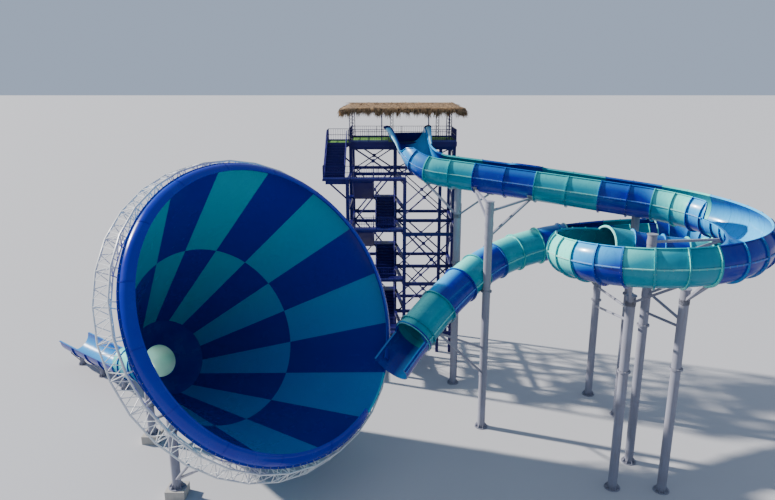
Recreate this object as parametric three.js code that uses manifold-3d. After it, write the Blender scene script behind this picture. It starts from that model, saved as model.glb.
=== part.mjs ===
// Water slide tower with a loop flume and a giant funnel, as a 1:2 scale model.
// Every length below is the real one in metres. X runs to the right along the tower's front,
// Y runs away from the viewer's side and Z is up, with Z = 0 at ground level.

import * as THREE from 'three';
import Module from 'manifold-3d';
import { mergeVertices } from 'three/addons/utils/BufferGeometryUtils.js';

const wasm = await Module();
wasm.setup();

// Scale and fit
const MM_PER_REAL_METRE = 500;
// Half the joint between two neighbours, and the whole of it where only one of them gives way
const GAP = 0.0003;
const SEAT = 2 * GAP;

// Colours
const TEAL = 0x007f8c;
const DEEP_BLUE = 0x0a1282;
const ROYAL_BLUE = 0x1440b0;
const NAVY = 0x1c1656;
const PALE_GREY = 0xc9c9cc;
const WHITE = 0xe6e6e4;
const STRAW = 0xa78a63;
const FLOOR_GREEN = 0x5f8f3a;

// Finishes
const GLOSS = 0.3;
const STEEL_ROUGHNESS = 0.5;
const STEEL_METALNESS = 0.3;
const STRAW_ROUGHNESS = 0.95;

// Facets and the distance under which two corners are one
const INNER_PARTS = 10;
const OUTER_PARTS = 8;
const WALL_PARTS = 3;
const BORE_PARTS = 16;
const LIP_PARTS = 4;
const PIPE_SIDES = 10;
const ARM_SIDES = 6;
const WEB_SIDES = 3;
const STEP = 1.35;
const WELD = 1e-5;

// Flume
const FLUME_RADIUS = 1.3;
const FLUME_WALL = 0.06;
const FLUME_FLANGE = 0.08;
const FLANGE_DEPTH = 0.06;
const HIGH_WALL = 50;
const FAR_WALL = 58;
const ENTRY_WALL = 12;
const ENTRY_SEAT_WALL = 13;
const MID_WALL = 1.5;
const TUB_WALLS = { start: 4, left: 26, right: 8 };
// Walls that change along a node, as [distance along it, degrees]
const SWING_LEFT_WALL = [[0, 26], [2.3, 58]];
const SWING_RIGHT_WALL = [[0, 8], [0.6, 1.5], [1.3, 50]];
const TURN_RIGHT_WALL = [[0, 50], [5.4, 50], [5.9, 1.5]];
const TUB_RADIUS = 1.5;

// The flume's centre line from the deck to the funnel: length, turn in degrees (left is positive)
// and the slope reached at the end of each leg.
const ROUTE_START = [1.73, 56.6, 21.1];
const ROUTE_HEADING = -78;
const ROUTE_SLOPE = 0.4;
const LEGS = {
  launch: { length: 2.29, turn: 0, slope: 0.75 },
  swing: { length: 4.08, turn: 50.8, slope: 0.067 },
  upper: { length: 14.66, turn: 0, slope: 0.08 },
  right: { length: 11.4, turn: -93.9, slope: 0.054 },
  front: { length: 7.52, turn: -77.5, slope: 0.075 },
  left: { length: 11.24, turn: -146.96, slope: 0.147 },
  closing: { length: 1.9, turn: -24.84, slope: 0.155 },
  inner: { length: 3.65, turn: 0, slope: 0.047 },
  under: { length: 3, turn: 43.9, slope: 0.01 },
  round: { length: 10.21, turn: 149.6, slope: 0.01 },
  back: { length: 6.64, turn: 0, slope: 0.117 },
  dive: { length: 8.66, turn: 42.9, slope: 0.317 },
  drop: { length: 5.9, turn: 0, slope: 0.62 },
  entry: { length: 2.2, turn: 0, slope: 0.72 },
};

// Funnel: a straight cone, two rows of panels and a rolled lip
const MOUTH = [-6.82, 36.34, 12.01];
const FUNNEL_AXIS = [-0.6687, 0.5649, -0.4832];
const MOUTH_RADIUS = 9.154;
const MID_AT = 7.128;
const THROAT_RADIUS = 2.813;
const THROAT_AT = 14.457;
const PANELS = 16;
const PANEL_TURN = 360 / PANELS;
const FIRST_SEAM = 0.4;
const SHELL = 0.07;
const SHELL_FLANGE = 0.16;
const FLANGE_PLATE = 0.08;
const SEAM_RIB = { inset: 0.02, root: 0.03, half: 0.5 };
const LIP_RADIUS = 0.58;
const LIP_JOINTS = [180, 292];
const LIP_SLIP = 0.01;
const ENTRY_FROM = 41;
const ENTRY_TO = 67;
const AHEAD = 1;
const COLLAR_LENGTH = 1.3;
const FILL = 0.2;

// Ring truss round the mouth: three chords, as [distance behind the mouth, radius], and the place of its
// first joint in degrees
const TRUSS_BAYS = 32;
const TRUSS_START = 6;
const TRUSS_FRONT = [0.3, 9.6];
const TRUSS_OUTER = [1.45, 9.95];
const TRUSS_INNER = [1.45, 9.05];
const CHORD = 0.06;
const WEB = 0.045;
const RING_SLIP = 0.002;
const END_WEB = 0.5;

// Runout behind the throat: it leaves square to the cone and levels out
const RUNOUT_HEADING = 139.8;
const RUNOUT_SLOPE = 0.552;
const RUNOUT_LEGS = {
  pipe: { length: 5.2, turn: 0, slope: 0.06 },
  open: { length: 9.6, turn: 0, slope: 0.02 },
};
const RUNOUT_POSTS = [1, 4.8, 8.6];

// Support columns: foot in plan, top, and arms as [height on the column, leg, along, across, rise]
const COLUMN_RADIUS = 0.31;
const COLUMN_FLANGE = { radius: 0.42, height: 0.12, share: 0.62 };
const ARM = 0.13;
const COLUMNS = {
  launch_column: {
    foot: [5.6, 50.45],
    top: 17.2,
    arms: [[14.6, 'swing', 2.4, -0.5, -1.0], [14.6, 'upper', 4.0, -0.2, -1.2]],
  },
  tall_column: {
    foot: [7.0, 43.2],
    top: 17.1,
    arms: [
      [16.8, 'upper', 2.9, -0.7, -1.0], [15.5, 'upper', 2.9, -0.7, -1.05],
      [16.4, 'upper', 7.3, -0.7, -1.0], [14.6, 'upper', 7.3, -0.7, -1.05],
      [6.3, 'drop', 4.6, 0.7, -1.0], [4.3, 'drop', 4.6, 0.7, -1.05],
    ],
  },
  loop_column_front: {
    foot: [14.3, 35.7],
    top: 12.9,
    arms: [[12.4, 'left', 1.2, -0.4, -1.2], [12.4, 'front', 5.2, -0.4, -1.2]],
  },
  loop_column_right: {
    foot: [17.3, 35.4],
    top: 13.4,
    arms: [[12.6, 'front', 3.9, -0.4, -1.2], [12.6, 'front', 0.8, -0.4, -1.2]],
  },
  loop_column_middle: {
    foot: [16.4, 38.6],
    top: 15.9,
    arms: [
      [15.4, 'right', 8.0, -1.0, -0.8], [14.0, 'right', 8.0, -1.0, -0.85],
      [12.0, 'front', 2.0, -0.8, -0.9],
    ],
  },
  upper_run_column: { foot: [17.75, 44.95], top: 15.85, arms: [] },
  return_run_column: { foot: [16.6, 48.35], top: 13.2, arms: [[9.2, 'back', 6.2, 0.3, -1.2]] },
};

// Funnel supports: distance behind the mouth and place round the ring, in degrees
const MID_SUPPORT = { behind: 6.45, at: 144.5, braces: [[1.1, 136.6], [1.1, 140]] };
const THROAT_SUPPORT = { behind: 13.4, at: 146.65 };
const FOOTING = { half: 0.6, height: 0.6 };
const TIE_HEIGHT = 1.6;

// Tower: storeys, the deck, and the lines its columns stand on
const LEVELS = [4.4, 8.8, 13.1, 17.35];
const DECK_TOP = 19.9;
const DECK = { x0: -3.45, x1: 6.1, y0: 56.8, y1: 61.6 };
const STAIR_HEAD = { x0: -5.3, x1: -3.45, y0: 56.2, y1: 58.0 };
const ROW = { front: 51.6, middle: 57.0, back: 61.4 };
const LEFT_LINE = -3.25;
const STAIR_LINE = { front: 1.4, middle: 0.7, back: 0.7 };
const RIGHT_LINE = 5.9;
const FRONT_RIGHT_TOP = 15.4;
const EXTRA_COLUMN = 4.7;
const COLUMN_SIZE = 0.28;
const BEAM = 0.26;
const BRACE = 0.1;
const SLANT_BEAM = 0.23;
const PLATE = 0.16;
const BRACKET_DROP = 1.4;

// Stairs: each storey goes away up one flight and comes back up the other
const UP_FLIGHT = { x0: -0.95, x1: 0.55 };
const BACK_FLIGHT = { x0: -2.85, x1: -1.25 };
const TOP_FLIGHT = { x0: -5.2, x1: -3.6 };
const FLIGHT_NEAR = 53.0;
const FLIGHT_FAR = 55.7;
const RISERS = 11;
const TOP_RISERS = 13;
const WAIST = 0.12;
const LAP = 0.1;
const TOP_LANDING_LEFT = -5.3;
const RAIL_HEIGHT = 1.05;
const RAIL = 0.06;
const RAIL_BAY = 2.3;

// Roof
const EAVES = 22.7;
const RIDGE = { height: 23.3, x0: -3.3, x1: 5.9, y: 59.1 };
const ROOF = { x0: -4.2, x1: 6.85, y0: 55.9, y1: 62.3 };
const THATCH = 0.28;
const HOLLOW_DEPTH = 1;
const FRONT_POSTS = [-3.2, -0.5, 3.6, 5.3];
const BACK_POSTS = [-3.2, 0.4, 4.7, 5.9];
const POST = 0.14;
const POST_INSET = 0.25;

const degrees = (a) => THREE.MathUtils.degToRad(a);
const point = (a) => new THREE.Vector3(...a);

// The centre line, cut into legs of constant curvature with evenly changing slope.
class Route {
  constructor(start, heading, slope, legs) {
    this.legs = {};
    let at = { position: point(start), heading: degrees(heading), slope };
    for (const [name, leg] of Object.entries(legs)) {
      this.legs[name] = { ...leg, from: at };
      at = this.on(name, leg.length);
    }
    this.end = at;
  }

  on(name, along) {
    const leg = this.legs[name];
    const bend = degrees(leg.turn) / leg.length;
    const { position, heading, slope } = leg.from;
    const now = heading + bend * along;
    const flat = leg.turn === 0;
    const x = flat ? Math.cos(heading) * along : (Math.sin(now) - Math.sin(heading)) / bend;
    const y = flat ? Math.sin(heading) * along : (Math.cos(heading) - Math.cos(now)) / bend;
    const change = (leg.slope - slope) / leg.length;
    const fall = slope * along + (change * along * along) / 2;
    return {
      position: position.clone().add(new THREE.Vector3(x, y, -fall)),
      heading: now,
      slope: slope + change * along,
    };
  }

  // Places a section point: across is to the rider's left, rise is square to the flume's floor.
  place(name, along, across, rise) {
    const { position, heading, slope } = this.on(name, along);
    const left = new THREE.Vector3(-Math.sin(heading), Math.cos(heading), 0);
    const ahead = new THREE.Vector3(Math.cos(heading), Math.sin(heading), -slope).normalize();
    const up = new THREE.Vector3().crossVectors(ahead, left);
    return position.clone().addScaledVector(left, across).addScaledVector(up, rise);
  }
}

// Turns a closed body's faces outwards if its volume comes out negative.
function facingOut(geometry) {
  const p = geometry.attributes.position;
  const a = new THREE.Vector3();
  const b = new THREE.Vector3();
  const c = new THREE.Vector3();
  let volume = 0;
  for (let i = 0; i < p.count; i += 3) {
    a.fromBufferAttribute(p, i);
    b.fromBufferAttribute(p, i + 1);
    c.fromBufferAttribute(p, i + 2);
    volume += a.dot(b.cross(c));
  }
  if (volume < 0) {
    for (let i = 0; i < p.count; i += 3) {
      b.fromBufferAttribute(p, i + 1);
      c.fromBufferAttribute(p, i + 2);
      p.setXYZ(i + 1, c.x, c.y, c.z);
      p.setXYZ(i + 2, b.x, b.y, b.z);
    }
  }
  return geometry;
}

function fromTriangles(corners) {
  const geometry = new THREE.BufferGeometry();
  const values = corners.flatMap((v) => [v.x, v.y, v.z]);
  geometry.setAttribute('position', new THREE.Float32BufferAttribute(values, 3));
  return facingOut(geometry);
}

// Skins a body over rings of equal count; outline is the flat section that closes both ends.
function loft(rings, outline) {
  const corners = [];
  const count = rings[0].length;
  for (let i = 0; i + 1 < rings.length; i += 1) {
    for (let j = 0; j < count; j += 1) {
      const k = (j + 1) % count;
      corners.push(rings[i][j], rings[i][k], rings[i + 1][k]);
      corners.push(rings[i][j], rings[i + 1][k], rings[i + 1][j]);
    }
  }
  for (const [a, b, c] of THREE.ShapeUtils.triangulateShape(outline, [])) {
    const along = THREE.ShapeUtils.isClockWise([outline[a], outline[b], outline[c]])
      === THREE.ShapeUtils.isClockWise(outline);
    const [second, third] = along ? [b, c] : [c, b];
    corners.push(rings[0][a], rings[0][third], rings[0][second]);
    corners.push(rings.at(-1)[a], rings.at(-1)[second], rings.at(-1)[third]);
  }
  return fromTriangles(corners);
}

const constant = (value) => () => value;

const arc = (radius, from, to, parts) =>
  Array.from({ length: parts + 1 }, (_, i) => {
    const a = degrees(from + ((to - from) * i) / parts);
    return new THREE.Vector2(radius * Math.cos(a), radius * Math.sin(a));
  });

// Trough section: left and right are how far each wall climbs above the middle, in degrees. What is
// grown by a seat's width serves to cut that seat.
function troughSection(radius, left, right, grown = 0) {
  const skin = radius + grown;
  const lip = skin + FLUME_FLANGE;
  const half = FLANGE_DEPTH / 2 + grown;
  const lean = THREE.MathUtils.radToDeg(half / skin);
  const outer = [
    ...(left > lean ? arc(skin, left, lean, WALL_PARTS) : []),
    new THREE.Vector2(lip, half),
    new THREE.Vector2(lip, -half),
    ...arc(skin, -lean, -180 + lean, OUTER_PARTS),
    new THREE.Vector2(-lip, -half),
    new THREE.Vector2(-lip, half),
    ...(right > lean ? arc(skin, -180 - lean, -180 - right, WALL_PARTS) : []),
  ];
  const top = (angle) => Math.max(angle, lean);
  const inner = arc(radius - FLUME_WALL, -180 - top(right), top(left), INNER_PARTS);
  return [...outer, ...inner];
}

function stations(length) {
  const parts = Math.max(1, Math.round(length / STEP));
  return Array.from({ length: parts + 1 }, (_, i) => (length * i) / parts);
}

// Skins a section along some legs of a path; inset draws both ends in a little.
function sweep(path, legs, sectionAt, inset) {
  const rings = [];
  let done = 0;
  legs.forEach((name, index) => {
    const { length } = path.legs[name];
    for (const along of stations(length)) {
      if (along === 0 && index > 0) continue;
      const first = index === 0 && along === 0;
      const last = index === legs.length - 1 && along === length;
      const at = along + (first ? inset : 0) - (last ? inset : 0);
      rings.push(sectionAt(done + along).map((p) => path.place(name, at, p.x, p.y)));
    }
    done += length;
  });
  return loft(rings, sectionAt(done));
}

// A stretch of open flume; walls gives the two wall angles at a distance along it.
function trough(path, legs, walls, radiusAt = constant(FLUME_RADIUS), grown = 0) {
  const inset = grown ? -grown : GAP;
  return sweep(path, legs, (d) => troughSection(radiusAt(d), ...walls(d), grown), inset);
}

// A curve along one or more legs with level frames, for closed tubes.
class FlumeCurve extends THREE.Curve {
  constructor(path, legs, inset) {
    super();
    this.path = path;
    this.names = legs;
    this.inset = inset;
    this.length = legs.reduce((sum, name) => sum + path.legs[name].length, 0) - 2 * inset;
  }

  at(t) {
    let along = this.inset + this.length * t;
    for (const name of this.names) {
      const { length } = this.path.legs[name];
      if (along <= length || name === this.names.at(-1)) return this.path.on(name, along);
      along -= length;
    }
    return null;
  }

  getPoint(t) {
    return this.at(t).position;
  }

  computeFrenetFrames(segments) {
    const frames = { tangents: [], normals: [], binormals: [] };
    for (let i = 0; i <= segments; i += 1) {
      const { heading, slope } = this.at(this.getUtoTmapping(i / segments));
      const tangent = new THREE.Vector3(Math.cos(heading), Math.sin(heading), -slope).normalize();
      const normal = new THREE.Vector3(-Math.sin(heading), Math.cos(heading), 0);
      frames.tangents.push(tangent);
      frames.normals.push(normal);
      frames.binormals.push(new THREE.Vector3().crossVectors(tangent, normal));
    }
    return frames;
  }
}

function tubeShape(grown) {
  const radius = FLUME_RADIUS + grown;
  const lip = radius + FLUME_FLANGE;
  const half = FLANGE_DEPTH / 2 + grown;
  const lean = THREE.MathUtils.radToDeg(half / radius);
  const shape = new THREE.Shape([
    ...arc(radius, lean, 180 - lean, OUTER_PARTS),
    new THREE.Vector2(-lip, half),
    new THREE.Vector2(-lip, -half),
    ...arc(radius, 180 + lean, 360 - lean, OUTER_PARTS),
    new THREE.Vector2(lip, -half),
    new THREE.Vector2(lip, half),
  ]);
  const bore = arc(FLUME_RADIUS - FLUME_WALL, 0, 360 - 360 / BORE_PARTS, BORE_PARTS - 1);
  shape.holes.push(new THREE.Path(bore));
  return shape;
}

function tube(path, legs, grown = 0) {
  const curve = new FlumeCurve(path, legs, grown ? -grown : GAP);
  const steps = Math.max(1, Math.round(curve.length / STEP));
  const geometry = new THREE.ExtrudeGeometry(tubeShape(grown), { steps, extrudePath: curve });
  return facingOut(plain(geometry));
}

// Only positions are kept, without an index, so that bodies can be merged freely.
function plain(geometry) {
  const flat = geometry.index ? geometry.toNonIndexed() : geometry;
  flat.deleteAttribute('normal');
  flat.deleteAttribute('uv');
  return flat;
}

function box(x0, x1, y0, y1, z0, z1) {
  const geometry = plain(new THREE.BoxGeometry(x1 - x0, y1 - y0, z1 - z0));
  return geometry.translate((x0 + x1) / 2, (y0 + y1) / 2, (z0 + z1) / 2);
}

// A straight bar between two points; turned sets the section's first corner, in degrees.
function bar(from, to, radius, sides = 4, turned = 45) {
  const a = point(from);
  const b = point(to);
  const length = a.distanceTo(b);
  const geometry = plain(new THREE.CylinderGeometry(radius, radius, length, sides));
  geometry.rotateY(degrees(turned));
  const along = b.clone().sub(a).normalize();
  const lift = new THREE.Quaternion().setFromUnitVectors(new THREE.Vector3(0, 1, 0), along);
  geometry.applyQuaternion(lift);
  const middle = a.add(b).multiplyScalar(0.5);
  return geometry.translate(middle.x, middle.y, middle.z);
}

const squareBar = (from, to, size) => bar(from, to, size / Math.SQRT2);

function solid(geometry) {
  const merged = mergeVertices(plain(geometry), WELD);
  return new wasm.Manifold(new wasm.Mesh({
    numProp: 3,
    vertProperties: new Float32Array(merged.attributes.position.array),
    triVerts: new Uint32Array(merged.index.array),
  }));
}

function fromSolid(body) {
  const mesh = body.getMesh();
  const geometry = new THREE.BufferGeometry();
  geometry.setAttribute('position', new THREE.Float32BufferAttribute(mesh.vertProperties, 3));
  geometry.setIndex(new THREE.Uint32BufferAttribute(mesh.triVerts, 1));
  return plain(geometry);
}

const fuse = (parts) => fromSolid(parts.map(solid).reduce((all, one) => all.add(one)));
const cut = (part, tools) =>
  fromSolid(tools.map(solid).reduce((all, one) => all.subtract(one), solid(part)));

const model = new THREE.Group();
const funnel = new THREE.Group();
const axis = point(FUNNEL_AXIS).normalize();
const across = new THREE.Vector3(axis.y, -axis.x, 0).normalize();

function add(name, geometry, colour, roughness, metalness = 0, parent = model) {
  const material = new THREE.MeshStandardMaterial({ color: colour, roughness, metalness });
  const mesh = new THREE.Mesh(geometry, material);
  mesh.name = name;
  parent.add(mesh);
  return mesh;
}

const steel = (name, geometry, colour, parent) =>
  add(name, geometry, colour, STEEL_ROUGHNESS, STEEL_METALNESS, parent);

const route = new Route(ROUTE_START, ROUTE_HEADING, ROUTE_SLOPE, LEGS);

const level = (angle) => [[0, angle]];

// Nodes of the flume below the tub: their legs, and their left and right walls where they are open
const FLUME_NODES = {
  launch_bend: { legs: ['swing'], walls: [SWING_LEFT_WALL, SWING_RIGHT_WALL], colour: DEEP_BLUE },
  upper_run: { legs: ['upper'], walls: [level(FAR_WALL), level(HIGH_WALL)], colour: TEAL },
  right_turn: { legs: ['right'], walls: [level(HIGH_WALL), TURN_RIGHT_WALL], colour: DEEP_BLUE },
  front_run: { legs: ['front'], walls: [level(HIGH_WALL), level(MID_WALL)], colour: TEAL },
  left_turn: { legs: ['left'], walls: [level(HIGH_WALL), level(MID_WALL)], colour: TEAL },
  return_bend: { legs: ['closing', 'inner', 'under', 'round'], colour: TEAL },
  return_run: { legs: ['back'], walls: [level(HIGH_WALL), level(HIGH_WALL)], colour: DEEP_BLUE },
  dive_tube: { legs: ['dive'], colour: DEEP_BLUE },
  drop_tube: { legs: ['drop'], colour: TEAL },
  entry_trough: { legs: ['entry'], walls: [level(ENTRY_WALL), level(ENTRY_WALL)], colour: DEEP_BLUE },
};

// How far a wall climbs at a distance, straight between its [distance, degrees] pairs.
function wallAt(pairs, distance) {
  const next = pairs.findIndex(([at]) => at > distance);
  if (next <= 0) return pairs.at(next)[1];
  const [[from, low], [to, high]] = [pairs[next - 1], pairs[next]];
  return low + ((high - low) * (distance - from)) / (to - from);
}

function flumeBody({ legs, walls }, grown) {
  if (!walls) return tube(route, legs, grown);
  const wallsAt = (d) => walls.map((pairs) => wallAt(pairs, d));
  return trough(route, legs, wallsAt, constant(FLUME_RADIUS), grown);
}

function buildFlume() {
  const { length } = LEGS.launch;
  const tubRadius = (d) => FLUME_RADIUS + (TUB_RADIUS - FLUME_RADIUS) * (1 - d / length);
  const { start, left, right } = TUB_WALLS;
  const tubWalls = (d) => [left, right].map((end) => start + ((end - start) * d) / length);
  const deckRoom = box(
    DECK.x0, DECK.x1, DECK.y0 - SEAT, DECK.y1, DECK_TOP - PLATE - BEAM - SEAT, DECK_TOP + SEAT,
  );
  const tub = trough(route, ['launch'], tubWalls, tubRadius);
  add('launch_tub', cut(tub, [deckRoom]), DEEP_BLUE, GLOSS);
  for (const [name, node] of Object.entries(FLUME_NODES)) {
    add(name, flumeBody(node, 0), node.colour, GLOSS);
  }
}

// A solid filling of a stretch of flume, a little inside its outer face.
function flumeFilling(path, legs) {
  const shell = troughSection(FLUME_RADIUS - FLUME_WALL / 2, HIGH_WALL, HIGH_WALL);
  return sweep(path, legs, constant(shell.slice(0, shell.length - INNER_PARTS - 1)), -GAP);
}

// What is cut from the steel under the flume, so that it ends in a seat one joint away from it.
const flumeSeat = (node, grown = SEAT) => [flumeBody(node, grown), flumeFilling(route, node.legs)];
const flumeSeats = () => Object.values(FLUME_NODES).flatMap((node) => flumeSeat(node));

// Funnel: bodies turned about its own axis, given as sections of [distance behind the mouth, radius].
function turned(section, from, to, parts) {
  const rings = Array.from({ length: parts + 1 }, (_, i) => {
    const a = degrees(from + ((to - from) * i) / parts);
    return section.map(([z, r]) => new THREE.Vector3(r * Math.cos(a), r * Math.sin(a), z));
  });
  return loft(rings, section.map(([z, r]) => new THREE.Vector2(z, r)));
}

const coneRadius = (z) => MOUTH_RADIUS - ((MOUTH_RADIUS - THROAT_RADIUS) / THROAT_AT) * z;

// A run of panels with bolting flanges at both rims and at each seam between two panels.
function panelRow(near, far, firstPanel, count) {
  const out = (z, depth) => [z, coneRadius(z) + depth];
  const section = [
    out(near, 0), out(far, 0), out(far, SHELL_FLANGE), out(far - FLANGE_PLATE, SHELL_FLANGE),
    out(far - FLANGE_PLATE, SHELL), out(near + FLANGE_PLATE, SHELL),
    out(near + FLANGE_PLATE, SHELL_FLANGE), out(near, SHELL_FLANGE),
  ];
  const { inset, root, half } = SEAM_RIB;
  const rib = [
    out(near + inset, root), out(far - inset, root),
    out(far - inset, SHELL_FLANGE - inset), out(near + inset, SHELL_FLANGE - inset),
  ];
  const slip = THREE.MathUtils.radToDeg(GAP / coneRadius(far));
  const from = FIRST_SEAM + firstPanel * PANEL_TURN;
  const shell = turned(section, from + slip, from + count * PANEL_TURN - slip, count * 2);
  const ribs = [];
  for (let i = 1; i < count; i += 1) {
    const seam = from + i * PANEL_TURN;
    ribs.push(turned(rib, seam - half, seam + half, 1));
  }
  return fuse([shell, ...ribs]);
}

// The lip rolls forwards and inwards from the mouth.
function lip(from, to) {
  const roll = (radius) => arc(radius, 90, 0, LIP_PARTS).map((p) => [
    -GAP - p.x,
    MOUTH_RADIUS + SHELL - LIP_RADIUS + p.y,
  ]);
  const foot = MOUTH_RADIUS + SHELL_FLANGE;
  const section = [
    [-GAP, foot], [-GAP - FLANGE_PLATE, foot],
    ...roll(LIP_RADIUS).slice(1), ...roll(LIP_RADIUS - SHELL).reverse(),
  ];
  const parts = Math.round((to - from) / (PANEL_TURN / 2));
  return turned(section, from + LIP_SLIP, to - LIP_SLIP, parts);
}

const ringPoint = ([z, r], angle) => [r * Math.cos(degrees(angle)), r * Math.sin(degrees(angle)), z];

// A closed ring about the funnel's axis, its section as [distance behind the mouth, radius].
function ring(section, sides, start = FIRST_SEAM) {
  const profile = [...section, section[0]].map(([z, r]) => new THREE.Vector2(r, z));
  const lathe = new THREE.LatheGeometry(profile, sides, degrees(start));
  return facingOut(plain(lathe.rotateX(Math.PI / 2)));
}

// The cone's outside, filled and grown by a joint's width, with its middle flange, to cut seats.
function coneClearance() {
  const skin = (z, depth) => [z, coneRadius(z) + depth + SEAT];
  const near = MID_AT - 1.5 * FLANGE_PLATE;
  const far = MID_AT + 1.5 * FLANGE_PLATE;
  return ring([
    [-AHEAD, FILL], skin(-AHEAD, SHELL), skin(near, SHELL), skin(near, SHELL_FLANGE),
    skin(far, SHELL_FLANGE), skin(far, SHELL), skin(THROAT_AT, SHELL), [THROAT_AT, FILL],
  ], 2 * PANELS);
}

// The room of the truss's outer chord and all that lies inwards of it.
function chordClearance() {
  const [z, r] = TRUSS_OUTER;
  const top = r + CHORD + 2 * SEAT;
  const deep = 2 * ARM;
  return ring([[z, top], [z + deep, top - deep], [z - deep, top - deep]], TRUSS_BAYS, TRUSS_START);
}

// One quadrant of the ring truss: three chords and a triangle of webs at each of their joints, with a
// bracket there that holds the shell.
function trussQuadrant(index) {
  const bays = TRUSS_BAYS / 4;
  const bay = 360 / TRUSS_BAYS;
  const from = TRUSS_START + index * bays * bay;
  const chord = ([z, r]) => turned([
    [z - CHORD, r], [z, r + CHORD], [z + CHORD, r], [z, r - CHORD],
  ], from + RING_SLIP, from + bays * bay - RING_SLIP, bays);
  const corners = [TRUSS_FRONT, TRUSS_OUTER, TRUSS_INNER];
  const shell = [TRUSS_FRONT[0], coneRadius(TRUSS_FRONT[0])];
  const webs = [];
  for (let i = 0; i < bays; i += 1) {
    const at = from + (i === 0 ? END_WEB : i * bay);
    corners.forEach((corner, k) => {
      webs.push(bar(ringPoint(corner, at), ringPoint(corners[(k + 1) % 3], at), WEB, WEB_SIDES));
    });
    webs.push(bar(ringPoint(TRUSS_FRONT, at), ringPoint(shell, at), WEB, WEB_SIDES));
  }
  return cut(fuse([...corners.map(chord), ...webs]), [coneClearance()]);
}

function throatCollar() {
  const from = THROAT_AT + GAP;
  const to = THROAT_AT + COLLAR_LENGTH - GAP;
  const end = FLUME_RADIUS - FLUME_WALL;
  return ring([
    [from, THROAT_RADIUS], [to, end], [to, end + SHELL_FLANGE], [to - FLANGE_PLATE, end + SHELL_FLANGE],
    [to - FLANGE_PLATE, end + 2 * SHELL], [from + FLANGE_PLATE, THROAT_RADIUS + SHELL],
    [from + FLANGE_PLATE, THROAT_RADIUS + SHELL_FLANGE], [from, THROAT_RADIUS + SHELL_FLANGE],
  ], PANELS);
}

function buildFunnel() {
  const down = new THREE.Vector3().crossVectors(axis, across);
  funnel.quaternion.setFromRotationMatrix(new THREE.Matrix4().makeBasis(across, down, axis));
  funnel.position.set(...MOUTH);
  funnel.updateMatrixWorld();
  model.add(funnel);
  const plastic = [GLOSS, 0, funnel];
  for (let i = 0; i < 4; i += 1) {
    const shell = panelRow(GAP, MID_AT - GAP, i * 4, 4);
    add(`funnel_outer_row_${i + 1}`, shell, i % 2 ? DEEP_BLUE : TEAL, ...plastic);
  }
  add('funnel_inner_row_1', panelRow(MID_AT + GAP, THROAT_AT - GAP, 0, 8), DEEP_BLUE, ...plastic);
  add('funnel_inner_row_2', panelRow(MID_AT + GAP, THROAT_AT - GAP, 8, 8), TEAL, ...plastic);
  const [low, high] = LIP_JOINTS;
  const intoFunnel = funnel.matrixWorld.clone().invert();
  const entryNode = { ...FLUME_NODES.entry_trough, walls: [level(ENTRY_SEAT_WALL), level(ENTRY_SEAT_WALL)] };
  const entry = flumeSeat(entryNode, 2 * SEAT).map((room) => room.applyMatrix4(intoFunnel));
  add('funnel_lip_bottom', cut(lip(ENTRY_TO, low), entry), ROYAL_BLUE, ...plastic);
  add('funnel_lip_left', lip(low, high), ROYAL_BLUE, ...plastic);
  add('funnel_lip_right', cut(lip(high, 360 + ENTRY_FROM), entry), ROYAL_BLUE, ...plastic);
  for (let i = 0; i < 4; i += 1) {
    steel(`ring_truss_${i + 1}`, trussQuadrant(i), WHITE, funnel);
  }
  add('throat_collar', throatCollar(), DEEP_BLUE, ...plastic);
}

// A point of the funnel in the model's own frame, from its distance behind the mouth, radius and angle.
const onFunnel = (spot, angle) =>
  point(ringPoint(spot, angle)).applyMatrix4(funnel.matrixWorld).toArray();

const offFunnel = (part, rooms) => cut(part, rooms.map((room) => room.applyMatrix4(funnel.matrixWorld)));

const footing = (x, y) => {
  const { half, height } = FOOTING;
  return box(x - half, x + half, y - half, y + half, 0, height);
};

// A column from its footing up to the cone, with two struts raking up to the ring truss.
function midSupport(mirrored) {
  const turn = (angle) => (mirrored ? 180 - angle : angle);
  const { behind, at, braces } = MID_SUPPORT;
  const head = onFunnel([behind, coneRadius(behind)], turn(at));
  const [x, y] = head;
  const [z, r] = TRUSS_OUTER;
  const struts = braces.map(([from, angle]) =>
    bar([x, y, from], onFunnel([z, r - CHORD], turn(angle)), ARM, ARM_SIDES));
  const pipe = bar([x, y, 0], head, COLUMN_RADIUS, PIPE_SIDES);
  const whole = fuse([pipe, footing(x, y), ...struts]);
  return offFunnel(whole, [coneClearance(), chordClearance()]);
}

function throatSupport() {
  const { behind, at } = THROAT_SUPPORT;
  const heads = [at, 180 - at].map((angle) => onFunnel([behind, coneRadius(behind)], angle));
  const pipes = heads.map((head) => bar([head[0], head[1], 0], head, COLUMN_RADIUS, PIPE_SIDES));
  const [one, other] = heads.map(([x, y]) => [x, y, TIE_HEIGHT]);
  const feet = heads.map(([x, y]) => footing(x, y));
  return offFunnel(fuse([...pipes, bar(one, other, ARM), ...feet]), [coneClearance()]);
}

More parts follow.
